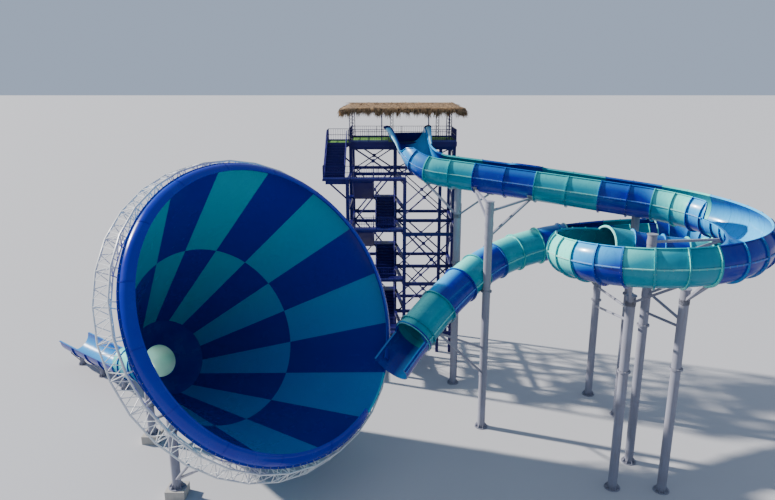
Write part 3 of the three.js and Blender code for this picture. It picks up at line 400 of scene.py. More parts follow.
def feed(tree, node, inputs):
    """Gives inputs their plain values or links them to other nodes' outputs."""
    for name, value in inputs.items():
        if isinstance(value, bpy.types.NodeSocket):
            tree.links.new(value, node.inputs[name])
        else:
            node.inputs[name].default_value = value


def add_node(tree, kind, inputs=(), **settings):
    """Adds a node and gives its outputs."""
    node = tree.nodes.new(kind)
    for name, value in settings.items():
        setattr(node, name, value)
    feed(tree, node, dict(inputs))
    return node.outputs


def new_tree(name, *inputs):
    return new_group(name, "GeometryNodeTree", [("Geometry", "Geometry"), *inputs, ("Material", "Material")],
                     [("Geometry", "Geometry")])


def close_tree(tree, source, given, result):
    """Ends a tree in Realize Instances and Set Material."""
    real = add_node(tree, "GeometryNodeRealizeInstances", {"Geometry": source})
    paint = add_node(tree, "GeometryNodeSetMaterial", {
        "Geometry": real["Geometry"], "Material": given["Material"]})
    feed(tree, result, {"Geometry": paint["Geometry"]})
    return tree


def facing_turn(tree):
    """The rotation that lays a copy along the attribute facing."""
    facing = add_node(tree, "GeometryNodeInputNamedAttribute", {"Name": "facing"}, data_type="FLOAT_VECTOR")
    return add_node(tree, "FunctionNodeAlignRotationToVector", {"Vector": facing["Attribute"]},
                    axis="Z")["Rotation"]


def rod_tree():
    """Every edge of the mesh becomes a round or square rod."""
    tree, given, result = new_tree("slide_rods", ("Radius", "Float", 0.02), ("Sides", "Int", 6))
    curve = add_node(tree, "GeometryNodeMeshToCurve", {"Mesh": given["Geometry"]})
    profile = add_node(tree, "GeometryNodeCurvePrimitiveCircle", {
        "Radius": given["Radius"], "Resolution": given["Sides"]})
    skin = add_node(tree, "GeometryNodeCurveToMesh", {
        "Curve": curve["Curve"], "Profile Curve": profile["Curve"], "Fill Caps": True})
    return close_tree(tree, skin["Mesh"], given, result)


def bolt_tree():
    """A hexagon bolt head on every point, turned along the attribute facing."""
    tree, given, result = new_tree("slide_bolts", ("Radius", "Float", 0.02), ("Height", "Float", 0.02))
    head = add_node(tree, "GeometryNodeMeshCylinder", {
        "Vertices": 6, "Radius": given["Radius"], "Depth": given["Height"]})
    copies = add_node(tree, "GeometryNodeInstanceOnPoints", {
        "Points": given["Geometry"], "Instance": head["Mesh"], "Rotation": facing_turn(tree)})
    return close_tree(tree, copies["Instances"], given, result)


def straw_tree():
    """Dry leaves laid over a roof: each follows the attribute facing, with a random tilt and length."""
    tree, given, result = new_tree(
        "slide_straw", ("Density", "Float", 100.0), ("Length", "Float", 0.3), ("Width", "Float", 0.01),
        ("Tilt", "Float", 0.3), ("Seed", "Int", 3))
    spread = add_node(tree, "GeometryNodeDistributePointsOnFaces", {
        "Mesh": given["Geometry"], "Density": given["Density"], "Seed": given["Seed"]})
    leaf = add_node(tree, "GeometryNodeMeshCone", {
        "Vertices": 3, "Radius Top": 0.0005, "Radius Bottom": given["Width"], "Depth": given["Length"]})
    low = add_node(tree, "ShaderNodeMath", {0: given["Tilt"], 1: -1.0}, operation="MULTIPLY")
    tilt = add_node(tree, "FunctionNodeRandomValue", {0: low[0], 1: given["Tilt"], "Seed": given["Seed"]},
                    data_type="FLOAT_VECTOR")
    size = add_node(tree, "FunctionNodeRandomValue", {2: 0.55, 3: 1.25, "Seed": given["Seed"]},
                    data_type="FLOAT")
    as_rotation = add_node(tree, "FunctionNodeEulerToRotation", {0: tilt[0]})
    sway = add_node(tree, "FunctionNodeRotateRotation", {
        "Rotation": facing_turn(tree), "Rotate By": as_rotation["Rotation"]}, rotation_space="LOCAL")
    copies = add_node(tree, "GeometryNodeInstanceOnPoints", {
        "Points": spread["Points"], "Instance": leaf["Mesh"], "Rotation": sway["Rotation"],
        "Scale": size[1]})
    return close_tree(tree, copies["Instances"], given, result)


TREES = {}
GROUPS = {}
FINISHES = {}


def grow(name, mesh, kind, finish, values, ways=None):
    """Runs a tree on a mesh, along the given ways, and keeps the result as a plain piece."""
    if ways is not None:
        facing = mesh.attributes.new("facing", "FLOAT_VECTOR", "POINT")
        facing.data.foreach_set("vector", np.array([unit(way) for way in ways]).ravel())
    obj = link(name, mesh)
    modifier = obj.modifiers.new(kind, "NODES")
    modifier.node_group = TREES[kind]
    values = {**values, "Material": FINISHES[finish][0]}
    for item in TREES[kind].interface.items_tree:
        if item.item_type == "SOCKET" and item.in_out == "INPUT" and item.name in values:
            modifier[item.identifier] = values[item.name]
    depsgraph = bpy.context.evaluated_depsgraph_get()
    grown = bpy.data.meshes.new_from_object(obj.evaluated_get(depsgraph))
    obj.modifiers.clear()
    obj.data = grown
    smooth(grown, SHARP)
    settle(obj)


def rods(name, lines, radius, finish, sides=6):
    """Straight rods between pairs of points."""
    mesh = new_mesh(name, [p for line in lines for p in line],
                    [(2 * i, 2 * i + 1) for i in range(len(lines))])
    grow(name, mesh, "rods", finish, {"Radius": radius * SCALE, "Sides": sides})


def bolts(name, spots, radius, height):
    """Bolt heads at (point, direction) pairs."""
    points, ways = zip(*spots)
    grow(name, new_mesh(name, points), "bolts", "bolt_zinc",
         {"Radius": radius * SCALE, "Height": height * SCALE}, ways=ways)


def noise(tree, vector, scale, detail=3.0, rough=0.55):
    return add_node(tree, "ShaderNodeTexNoise", {
        "Scale": scale, "Detail": detail, "Roughness": rough, "Vector": vector})["Fac"]


def ramp(tree, source, low, high, ends=(0.0, 1.0)):
    """Stretches a value so that low becomes the first end and high becomes the second."""
    return add_node(tree, "ShaderNodeMapRange", {
        "From Min": low, "From Max": high, "Value": source, "To Min": ends[0], "To Max": ends[1]})["Result"]


def math_node(tree, operation, first, second):
    return add_node(tree, "ShaderNodeMath", {0: first, 1: second}, operation=operation)[0]


def stretched(tree, vector, scale):
    return add_node(tree, "ShaderNodeMapping", {"Scale": scale, "Vector": vector})["Vector"]


def weather_group():
    """Rain streaks that run down, and soft blotches, as two masks."""
    tree, given, result = new_group("slide_weather", "ShaderNodeTree", (
        ("Vector", "Vector"), ("Scale", "Float", 1.0)), (("Streaks", "Float"), ("Blotches", "Float")))
    vector = add_node(tree, "ShaderNodeVectorMath", {0: given["Vector"], "Scale": given["Scale"]},
                      operation="SCALE")[0]
    lines = noise(tree, stretched(tree, vector, (9.0, 9.0, 0.7)), 1.6, 5.0, 0.62)
    patches = noise(tree, vector, 1.1, 5.0, 0.6)
    feed(tree, result, {
        "Streaks": ramp(tree, lines, 0.5, 0.72), "Blotches": ramp(tree, patches, 0.42, 0.72)})
    return tree


def ripple_group():
    """The faint waviness of a moulded shell and its fine orange peel, as a height."""
    tree, given, result = new_group("slide_ripple", "ShaderNodeTree", (("Vector", "Vector"),),
                                    (("Height", "Float"),))
    wide, fine = (noise(tree, given["Vector"], scale, 2.0) for scale in (1.3, 60.0))
    feed(tree, result, {"Height": math_node(tree, "ADD", wide, math_node(tree, "MULTIPLY", fine, 0.06))})
    return tree


class Finish:
    """A material with its shader, object coordinates and the helpers that its nodes need."""

    def __init__(self, name, slot, values):
        self.material = bpy.data.materials.new(name)
        self.material.use_nodes = True
        self.tree = self.material.node_tree
        self.shader = self.tree.nodes["Principled BSDF"]
        self.set(values)
        self.coords = add_node(self.tree, "ShaderNodeTexCoord")["Object"]
        FINISHES[name] = (self.material, slot)

    def set(self, values):
        feed(self.tree, self.shader, values)

    def group(self, name, **values):
        return add_node(self.tree, "ShaderNodeGroup", {"Vector": self.coords, **values},
                        node_tree=GROUPS[name])

    def share(self, mask, amount):
        return math_node(self.tree, "MULTIPLY", mask, amount)

    def most(self, first, second):
        return math_node(self.tree, "MAXIMUM", first, second)

    def painted_light_mask(self, low, high):
        """How far a face looks towards the key light: the mask for painted light on that side."""
        facing = add_node(self.tree, "ShaderNodeNewGeometry")["Normal"]
        dot = add_node(self.tree, "ShaderNodeVectorMath", {0: facing, 1: SUNNY_SIDE},
                       operation="DOT_PRODUCT")
        return ramp(self.tree, dot["Value"], low, high)

    def blend(self, mask, first, second):
        first, second = ((*c, 1.0) if isinstance(c, tuple) else c for c in (first, second))
        return add_node(self.tree, "ShaderNodeMix", {"Factor": mask, 6: first, 7: second},
                        data_type="RGBA")[2]

    def bump(self, height, strength, distance):
        self.set({"Normal": add_node(self.tree, "ShaderNodeBump", {
            "Strength": strength, "Distance": distance, "Height": height})["Normal"]})


def shell_finish(name, slot, colour, painted_light_colour, dirt=0.25, side=(0.15, 0.85), gloss=(0.2, 0.34)):
    """Gel-coated glass fibre: glossy, with painted light (a second colour on faces by how they look towards
    the key light) and rain marks running down.
    """
    finish = Finish(name, slot, {"Coat Weight": 0.12, "Coat Roughness": 0.1, "Specular IOR Level": 0.25})
    weather = finish.group("weather", Scale=0.9)
    # Painted light: the mask follows how a face looks towards the key light; soft blotches add a little
    # random lightening
    painted_light_mask = finish.most(finish.painted_light_mask(*side), finish.share(weather["Blotches"], 0.08))
    painted_light_tone = finish.blend(painted_light_mask, colour, painted_light_colour)
    dull = tuple(0.55 * c + 0.02 for c in colour)
    finish.set({"Base Color": finish.blend(finish.share(weather["Streaks"], dirt), painted_light_tone, dull),
                "Roughness": ramp(finish.tree, weather["Blotches"], 0.0, 1.0, gloss)})
    finish.bump(finish.group("ripple")["Height"], 0.12, 0.01)


def steel_finish(name, slot, colour, worn, roughness, amount=0.5, metallic=0.0):
    """Paint on steel: streaked and blotched where the weather has dulled it."""
    finish = Finish(name, slot, {"Metallic": metallic, "Specular IOR Level": 0.25})
    weather = finish.group("weather", Scale=1.6)
    marks = finish.most(weather["Streaks"], finish.share(weather["Blotches"], 0.6))
    gloss = roughness - 0.08, roughness + 0.15
    finish.set({"Base Color": finish.blend(finish.share(marks, amount), colour, worn),
                "Roughness": ramp(finish.tree, weather["Blotches"], 0.0, 1.0, gloss)})
    finish.bump(noise(finish.tree, finish.coords, 90.0, 2.0), 0.08, 0.004)


def straw_finish():
    """Dry thatch: tan, brown and grey from leaf to leaf."""
    finish = Finish("thatch_straw", "straw", {"Roughness": 0.85})
    leaf = noise(finish.tree, stretched(finish.tree, finish.coords, (11.0, 11.0, 4.0)), 1.0, 5.0, 0.75)
    patch = noise(finish.tree, finish.coords, 1.6, 3.0)
    tone = finish.blend(ramp(finish.tree, leaf, 0.4, 0.6), (0.03, 0.015, 0.006), (0.44, 0.27, 0.13))
    finish.set({"Base Color": finish.blend(ramp(finish.tree, patch, 0.52, 0.8), tone, (0.2, 0.14, 0.09))})
    finish.bump(leaf, 0.7, 0.03)


def deck_finish():
    """Green matting on the deck's top, painted steel everywhere else."""
    finish = Finish("deck_matting", "green_floor", {"Roughness": 0.75})
    facing = add_node(finish.tree, "ShaderNodeNewGeometry")["Normal"]
    up = add_node(finish.tree, "ShaderNodeSeparateXYZ", {0: facing})["Z"]
    tufts = noise(finish.tree, finish.coords, 45.0, 4.0, 0.7)
    green = finish.blend(tufts, (0.03, 0.12, 0.012), (0.16, 0.42, 0.04))
    finish.set({"Base Color": finish.blend(ramp(finish.tree, up, 0.4, 0.6), (0.02, 0.012, 0.13), green)})
    finish.bump(tufts, 0.3, 0.006)


def build_finishes(colours):
    """Makes the groups, the trees and every material."""
    GROUPS.update(weather=weather_group(), ripple=ripple_group())
    TREES.update(rods=rod_tree(), bolts=bolt_tree(), straw=straw_tree())
    teal, blue, royal, navy = (tuple(c) for c in (colours.teal, colours.blue, colours.royal, colours.navy))
    # Shells as (name, slot, colour, painted light colour, dirt, range, gloss): the second colour is painted
    # light on faces within the range of the key light's direction
    for name, slot, *looks in (
            ("teal_gelcoat", "teal", teal, (0.2, 0.96, 0.8), 0.25, (0.2, 0.75)),
            ("blue_gelcoat", "blue", blue, (0.05, 0.5, 0.95), 0.25, (0.25, 0.8)),
            ("lip_gelcoat", "blue", royal, (0.005, 0.14, 0.75), 0.1, (0.5, 0.98)),
            # The runout pipe's pale lining is painted light, for the bright light inside the pipe
            ("pale_gelcoat", "teal", (0.5, 0.82, 0.72), (0.9, 0.97, 0.92), 0.05, (0.15, 0.85), (0.5, 0.6)),
            # teal_edge and blue_edge are paler copies of the shell colours: partly the flanges' paler raw
            # edges, partly painted light on thin edges that catch it
            ("teal_edge", "teal", (0.1, 0.5, 0.5), (0.45, 0.9, 0.82), 0.1),
            ("blue_edge", "blue", (0.03, 0.12, 0.55), (0.25, 0.6, 0.9), 0.1),
            ("rim_gelcoat", "blue", (0.1, 0.42, 0.75), (0.45, 0.85, 0.95), 0.1),
            # The funnel's range runs backwards: faces that look away from the key light, the cone's inside
            # under its lit shell, take the lighter colour as painted light shining through, the rest the
            # darker one as painted shade
            ("funnel_teal", "teal", (0.0, 0.19, 0.52), (0.0, 0.43, 0.52), 0.1, (0.5, -0.8)),
            ("funnel_blue", "blue", blue, (0.0, 0.003, 0.34), 0.1, (0.5, -0.8))):
        shell_finish(name, slot + "_shell", *looks)
    for name, slot, *looks in (
            ("navy_paint", "navy_steel", navy, (0.035, 0.03, 0.15), 0.42),
            # navy_edge is a lighter copy of the navy for stringers, handrails, gussets and toe boards:
            # painted light on thin parts that catch it
            ("navy_edge", "navy_steel", (0.05, 0.045, 0.24), (0.12, 0.11, 0.34), 0.4),
            ("column_paint", "grey_steel", (0.27, 0.28, 0.35), (0.2, 0.17, 0.17), 0.45, 0.6),
            ("truss_paint", "white_steel", (0.72, 0.74, 0.76), (0.45, 0.47, 0.48), 0.4, 0.6),
            ("bolt_zinc", "grey_steel", (0.42, 0.43, 0.45), (0.25, 0.2, 0.16), 0.35, 0.6, 0.8),
            ("concrete", "grey_steel", (0.48, 0.46, 0.42), (0.3, 0.28, 0.25), 0.8, 0.6)):
        steel_finish(name, slot, *looks)
    straw_finish()
    deck_finish()


# Flume

def wall_at(table, distance):
    along, angles = zip(*table)
    return float(np.interp(distance, along, angles))


def is_closed(distance):
    return any(start <= distance <= end for start, end in CLOSED)


def radius_at(distance):
    share = max(0.0, 1 - distance / FLUME_LEGS["launch"][0])
    return RADIUS + (TUB_RADIUS - RADIUS) * share


def open_section(radius, left, right, lip):
    """A trough: inner skin, then a lip turned out at each top edge and the outer skin back."""
    lean = math.degrees(lip * 0.8 / radius)
    far = -180 - right
    return [
        *arc_points(radius - WALL, left, far, 26), *arc_points(radius + lip, far, far + lean, 1),
        *arc_points(radius, far + lean, left - lean, 30), *arc_points(radius + lip, left - lean, left, 1),
    ]


def stations(start, end, step):
    return list(np.linspace(start, end, max(1, math.ceil((end - start) / step)) + 1))


def flume_spans():
    """The stretches of each node, cut at every joint: (node, colour, start, end, closed)."""
    edges = [*(start for start, _ in SECTIONS), *(c for pair in CLOSED for c in pair)]
    for node, legs in FLUME_NODES.items():
        low = FLUME.starts[legs[0]]
        high = low + sum(FLUME_LEGS[leg][0] for leg in legs)
        cuts = sorted({low, high, *(e for e in edges if low < e < high)})
        for start, end in zip(cuts, cuts[1:]):
            middle = (start + end) / 2
            colour = [c for s, c in SECTIONS if s <= middle][-1]
            yield node, colour, start, end, is_closed(middle)


def add_pipe(shape, route, places, outer, inner):
    """A tube with a wall: outer rings forwards, inner rings back, closed on itself lengthwise."""
    skins = [[route.section(s, circle(radius, TUBE_SIDES)) for s in places]
             for radius in (outer, inner)]
    shape.loft(skins[0] + skins[1][::-1], closed=True)


def hoop(shape, route, angles, inner, outer, low, high):
    """A flange round the section: at each angle a rectangle, inner to outer and low to high along."""
    corners = ((low, inner), (low, outer), (high, outer), (high, inner))
    shape.loft([[route.rim(at, angle, radius) for at, radius in corners] for angle in angles],
               closed=abs(angles[-1] - angles[0]) > 359)


def ring_bolts(spots, route, at, angles, radius, gap, ways=(1, -1)):
    ahead = route.frame(at)[3]
    spots += [(route.rim(at + way * gap, angle, radius), way * ahead)
              for angle in angles[1:-1:2] for way in ways]


def flume_joint(shape, spots, at, settings):
    """A bolted flange pair round the flume where two moulded sections meet."""
    radius, half = radius_at(at), settings.flange_width / 2
    if is_closed(at):
        angles = np.linspace(0, 360, JOINT_SIDES + 1)
    else:
        angles = np.linspace(wall_at(LEFT_WALL, at) - 0.5, -180 - wall_at(RIGHT_WALL, at) + 0.5, 36)
    for low, high in ((-half, -FLANGE_GAP), (FLANGE_GAP, half)):
        hoop(shape, FLUME, angles, radius - FLANGE_ROOT, radius + settings.flange, at + low, at + high)
    ring_bolts(spots, FLUME, at, angles, radius + settings.flange * 0.55, half + 0.008)


def side_flange(shape, spots, start, end, closed, settings):
    """The lengthwise bolting flange at half height, on each side whose wall rises past it."""
    half = [(-0.01, 0.035), (0.075, 0.03), (0.08, 0.004)]
    profile = [*half, (0.07, 0), *((x, -y) for x, y in half[::-1])]
    bolt_out, bolt_up = 0.045, 0.04
    for side, table in SIDES:
        run = [s for s in stations(start, end, settings.step)
               if closed or wall_at(table, s) > settings.low_wall]
        if len(run) < 2:
            continue
        shape.loft([FLUME.section(s, [(side * (radius_at(s) + x), y) for x, y in profile]) for s in run])
        for s in stations(run[0], run[-1], settings.bolt_spacing)[1:-1]:
            reach, up = side * (radius_at(s) + bolt_out), FLUME.frame(s)[2]
            top, bottom = FLUME.section(s, [(reach, bolt_up), (reach, -bolt_up)])
            spots += [(top, up), (bottom, -up)]


def flume_shells(settings):
    """The moulded sections, each node's teal and blue ones as a piece, with an open seam at every joint."""
    shells = {}
    seams, inset = {start for start, _ in SECTIONS} | {FLUME.length}, settings.seam / 2
    for node, colour, start, end, closed in flume_spans():
        shape = shells.setdefault((node, colour), Shape())
        places = stations(start + inset * (start in seams), end - inset * (end in seams), settings.step)
        if closed:
            add_pipe(shape, FLUME, places, RADIUS, RADIUS - WALL)
            continue
        shape.loft([FLUME.section(s, open_section(
            radius_at(s), wall_at(LEFT_WALL, s), wall_at(RIGHT_WALL, s), settings.lip)) for s in places])
    for (node, colour), shape in shells.items():
        piece(f"{node}_{colour}", shape, f"{colour}_gelcoat", (node,), 40)


def flume_trim(settings):
    """Flanges and bolts where sections meet and along their sides."""
    flanges, sides = ({"teal": Shape(), "blue": Shape()} for _ in range(2))
    spots = []
    for _, colour, start, end, closed in flume_spans():
        side_flange(sides[colour], spots, start + 0.01, end - 0.01, closed, settings)
    for at, colour in SECTIONS[1:]:
        flume_joint(flanges[colour], spots, at, settings)
    for colour in flanges:
        piece(f"flume_joint_flanges_{colour}", flanges[colour], f"{colour}_gelcoat")
        # The side flanges take the paler edge colour, partly painted light
        piece(f"flume_side_flanges_{colour}", sides[colour], f"{colour}_edge")
    bolts("flume_bolts", spots, *FLUME_BOLT)


def tube_mouths():
    """Pale rolled rims where the closed tubes open."""
    shape, out, proud = Shape(), 0.03, 0.02
    profile = circle(1, RIM_SIDES)
    for start, end in CLOSED:
        for middle in (start - out, end + out):
            shape.loft([[FLUME.rim(middle + RIM_DEEP * y, angle, RADIUS + proud + RIM_THICK * x)
                         for x, y in profile]
                        for angle in np.linspace(0, 360, TUBE_SIDES + 1)[:-1]], closed=True)
    # The rims take the paler edge teal, partly painted light
    piece("tube_mouth_rims", shape, "teal_edge")


def launch_rims(settings):
    """The tub's rims roll outwards from two navy horns at the deck, with a flange and a back wall there, the
    wall's navy being painted shade.
    """
    rims, horns, back = Shape(), Shape(), Shape()
    end = FLUME_LEGS["launch"][0] + 0.6
    widest, least, wall = 0.2, 0.07, 0.03

    def rolled(side, table, low, high, extra):
        rings = []
        for s in stations(low, high, 0.12):
            roll = widest * (1 - s / end) + least + extra
            centre = np.array(polar(radius_at(s) + settings.lip - extra, wall_at(table, s)))
            turn = arc_points(1, 0, 200, 10)
            outer = [centre + (roll * (1 - x), roll * 0.6 * y) for x, y in turn]
            thin = roll - wall
            inner = [centre + (wall + thin * (1 - x) * 0.93, thin * 0.5 * y) for x, y in turn[::-1]]
            rings.append(FLUME.section(s, [(side * x, y) for x, y in outer + inner]))
        return rings

    for side, table in SIDES:
        rims.loft(rolled(side, table, 0.3, end, 0))
        horns.loft(rolled(side, table, 0.02, 0.34, 0.035))
        angles = np.linspace(wall_at(table, 0), -62, 14)
        hoop(rims, FLUME, angles if side > 0 else 180 - angles, TUB_RADIUS, TUB_RADIUS + 0.22, 0.02, 0.07)
    # The back wall is dark navy steel paint, not the tub's gelcoat: painted shade for the shadowed end of
    # the tub
    outline = arc_points(TUB_RADIUS - WALL - 0.01, -16, -164, 30)
    back.loft([FLUME.section(s, outline) for s in (0.05, 0.1)])
    for name, shape, finish in (("rims", rims, "rim_gelcoat"), ("horns", horns, "navy_paint"),
                                ("back_wall", back, "navy_paint")):
        piece(f"launch_{name}", shape, finish)


def runout():
    """The closed pipe behind the throat and the open trough with its posts."""
    low, skin = RUNOUT.starts["open"], RADIUS - WALL - 0.004
    # The pipe's inner lining is pale: painted light for the bright light inside it
    for name, finish, replaces, gap, outer, inner in (
            ("shell", "teal_gelcoat", ("runout_pipe",), 0.01, RADIUS, RADIUS - WALL),
            ("inside", "pale_gelcoat", (), 0.02, skin, skin - 0.01)):
        pipe = Shape()
        add_pipe(pipe, RUNOUT, stations(gap, low - gap, RUNOUT_STEP), outer, inner)
        piece(f"runout_pipe_{name}", pipe, finish, replaces, 40)
    channel = Shape()
    outline = open_section(RADIUS, 1.5, 1.5, 0.08)
    channel.loft([RUNOUT.section(s, outline)
                  for s in stations(low + 0.01, RUNOUT.length - 0.01, RUNOUT_STEP)])
    piece("runout_trough_shell", channel, "blue_gelcoat", ("runout_trough",), 40)
    trim, spots = Shape(), []
    for at in (*PIPE_JOINTS, *(low + at for at in TROUGH_JOINTS)):
        angles = np.linspace(0, 360, JOINT_SIDES + 1) if at < low else np.linspace(1, -181, 36)
        hoop(trim, RUNOUT, angles, RADIUS - FLANGE_ROOT, RADIUS + 0.09, at - 0.035, at + 0.035)
        ring_bolts(spots, RUNOUT, at, angles, RADIUS + 0.05, 0.045, (1,))
    piece("runout_flanges", trim, "blue_gelcoat")
    bolts("runout_bolts", spots, *FLUME_BOLT)
    posts = Shape()
    for along in RUNOUT_POSTS:
        x, y, z = RUNOUT.place("open", along, 0, 0)
        pillar(posts, (x, y), z - RADIUS - 0.05, RUNOUT_POST_RADIUS)
        for side in (-1, 1):
            posts.bar(RUNOUT.place("open", along, side * 0.9, -1.0), (x, y, z - RADIUS - 0.9), 0.05, 6)
    posts.bar(*(RUNOUT.place("open", RUNOUT_POSTS[k], 0, -RADIUS - 0.13) for k in (0, -1)), 0.11)
    piece("runout_posts", posts, "column_paint", ("runout_supports",))


class SLIDE_PG_flume(bpy.types.PropertyGroup):
    """Sizes of the flume's fine shell"""
    step: bpy.props.FloatProperty(
        name="Step", description="Length of a facet along the flume", default=0.24, min=0.05,
        unit="LENGTH")
    seam: bpy.props.FloatProperty(
        name="Seam", description="Open joint between two moulded sections", default=0.014, min=0.0,
        unit="LENGTH")
    lip: bpy.props.FloatProperty(
        name="Lip", description="How far the top edge turns outwards", default=0.075, min=0.0,
        unit="LENGTH")
    flange: bpy.props.FloatProperty(
        name="Flange", description="Height of the joint flanges over the shell", default=0.12, min=0.0,
        unit="LENGTH")
    flange_width: bpy.props.FloatProperty(
        name="Flange width", description="Thickness of a flange pair", default=0.07, min=0.01,
        unit="LENGTH")
    bolt_spacing: bpy.props.FloatProperty(
        name="Bolt spacing", description="Distance between side bolts", default=0.42, min=0.1,
        unit="LENGTH")
    low_wall: bpy.props.FloatProperty(
        name="Low wall",
        description="Wall angle in degrees under which the side flange is the rim itself", default=6.0)


class SLIDE_OT_flume(bpy.types.Operator):
    """Build the flume's shells, flanges and bolts"""
    bl_idname = "slide.flume"
    bl_label = "Flume"

    def execute(self, context):
        settings = context.scene.slide_flume
        flume_shells(settings)
        flume_trim(settings)
        tube_mouths()
        launch_rims(settings)
        return {"FINISHED"}


class SLIDE_OT_runout(bpy.types.Operator):
    """Build the runout behind the funnel"""
    bl_idname = "slide.runout"
    bl_label = "Runout"

    def execute(self, context):
        runout()
        return {"FINISHED"}


# Funnel

def funnel_sweep(shape, section, start, end, parts, closed=False):
    """Sweeps a section of (behind the mouth, radius) round the funnel's axis."""
    angles = np.linspace(start, end, parts + 1)
    shape.loft([[on_funnel(behind, radius, angle) for behind, radius in section]
                for angle in (angles[:-1] if closed else angles)], closed)


def raised(*steps):
    """A section of points at a height over the cone."""
    return [(behind, cone_radius(behind) + height) for behind, height in steps]


def block(near, far, low, high):
    return raised((near, low), (far, low), (far, high), (near, high))


def funnel_panel(shape, spots, near, far, first):
    """One panel with bolting flanges on its four sides and stiffening ribs on its back."""
    plate, root = PANEL_PLATE, SHELL * 0.6
    slip, thick = (math.degrees(size / cone_radius(near)) for size in (PANEL_SLIP, plate))
    start, end = first + slip, first + PANEL_TURN - slip
    funnel_sweep(shape, raised(
        (near, 0), (far, 0), (far, SHELL_FLANGE), (far - plate, SHELL_FLANGE), (far - plate, SHELL),
        (near + plate, SHELL), (near + plate, SHELL_FLANGE), (near, SHELL_FLANGE)), start, end, 8)
    edge = block(near + plate, far - plate, root, SHELL_FLANGE)
    funnel_sweep(shape, edge, start, start + thick, 1)
    funnel_sweep(shape, edge, end - thick, end, 1)
    for share in RIB_PLACES:
        at = near + (far - near) * share
        rib = raised((at - 0.1, root), (at - 0.05, SHELL + 0.07), (at + 0.05, SHELL + 0.07),
                     (at + 0.1, root))
        funnel_sweep(shape, rib, start + thick + 0.3, end - thick - 0.3, 6)
    middle = (start + end) / 2
    funnel_sweep(shape, block(near + 0.3, far - 0.3, root, SHELL + 0.06), middle - 0.5, middle + 0.5, 1)
    way = on_funnel(0, 1, middle) - on_funnel(0, 1, start)
    for at in np.arange(near + 0.3, far - 0.2, FUNNEL_BOLT_GAP):
        spots.append((on_funnel(at, cone_radius(at) + SHELL_FLANGE * 0.7, start + thick + 0.15), way))


def funnel_panels():
    shapes, spots = {"teal": Shape(), "blue": Shape()}, []
    for row, (near, far) in enumerate(((0.01, MID_AT - 0.001), (MID_AT + 0.001, THROAT_AT - 0.01))):
        for k in range(PANELS):
            colour = "blue" if (k + row) % 2 else "teal"
            funnel_panel(shapes[colour], spots, near, far, FIRST_SEAM + k * PANEL_TURN)
    nodes = [*(f"funnel_outer_row_{i}" for i in (1, 2, 3, 4)), "funnel_inner_row_1", "funnel_inner_row_2"]
    for colour, shape in shapes.items():
        piece(f"funnel_panels_{colour}", shape, f"funnel_{colour}", nodes)
    return spots


def funnel_lip(spots):
    """The rolled lip in moulded lengths with a narrow step at each joint."""
    shape, joints = Shape(), Shape()
    end = 360 + ENTRY_FROM
    seams = np.arange(FIRST_SEAM + 4 * PANEL_TURN, end - 2, PANEL_TURN)
    centre = MOUTH_RADIUS + 0.07 - LIP_RADIUS

    def roll(extra, start, end, parts):
        return [(-0.01 - x, centre + y) for x, y in arc_points(LIP_RADIUS + extra, start, end, parts)]

    foot = MOUTH_RADIUS + SHELL_FLANGE
    section = [(-0.01, foot), (-0.05, foot), *roll(0, 86, 2, 12), *roll(0.02, 0, -6, 2),
               *roll(-0.08, -6, 0, 2), *roll(-0.05, 2, 86, 10), (-0.01, MOUTH_RADIUS + 0.02)]
    edges = [ENTRY_TO, *seams, end]
    for first, last in zip(edges, edges[1:]):
        funnel_sweep(shape, section, first + 0.04, last - 0.04, 8)
    half = math.degrees(0.035 / MOUTH_RADIUS)
    for seam in seams:
        ridge = [*roll(0.014, 88, -4, 12), *roll(-0.02, -4, 88, 12)]
        funnel_sweep(joints, ridge, seam - half, seam + half, 1)
    piece("funnel_lip", shape, "lip_gelcoat", ("funnel_lip_bottom", "funnel_lip_left", "funnel_lip_right"))
    piece("funnel_lip_joints", joints, "funnel_blue")
    for angle in np.arange(ENTRY_TO + 1, end, 3.0):
        spots.append((on_funnel(-0.065, MOUTH_RADIUS + SHELL_FLANGE * 0.6, angle), -AXIS_UNIT))


def throat():
    """The collar from the funnel's narrow end down to the pipe, with a flange at each end."""
    shape = Shape()
    near, far, end = THROAT_AT + 0.01, THROAT_AT + COLLAR - 0.01, RADIUS - WALL
    head, foot = near + COLLAR_PLATE, far - COLLAR_PLATE
    section = [(near, THROAT_RADIUS), (far, end), (far, end + SHELL_FLANGE), (foot, end + SHELL_FLANGE),
               (foot, end + 0.07), (head, THROAT_RADIUS + SHELL), (head, THROAT_RADIUS + SHELL_FLANGE),
               (near, THROAT_RADIUS + SHELL_FLANGE)]
    funnel_sweep(shape, section, 0, 360, 64, closed=True)
    piece("throat_collar_shell", shape, "blue_gelcoat", ("throat_collar",))


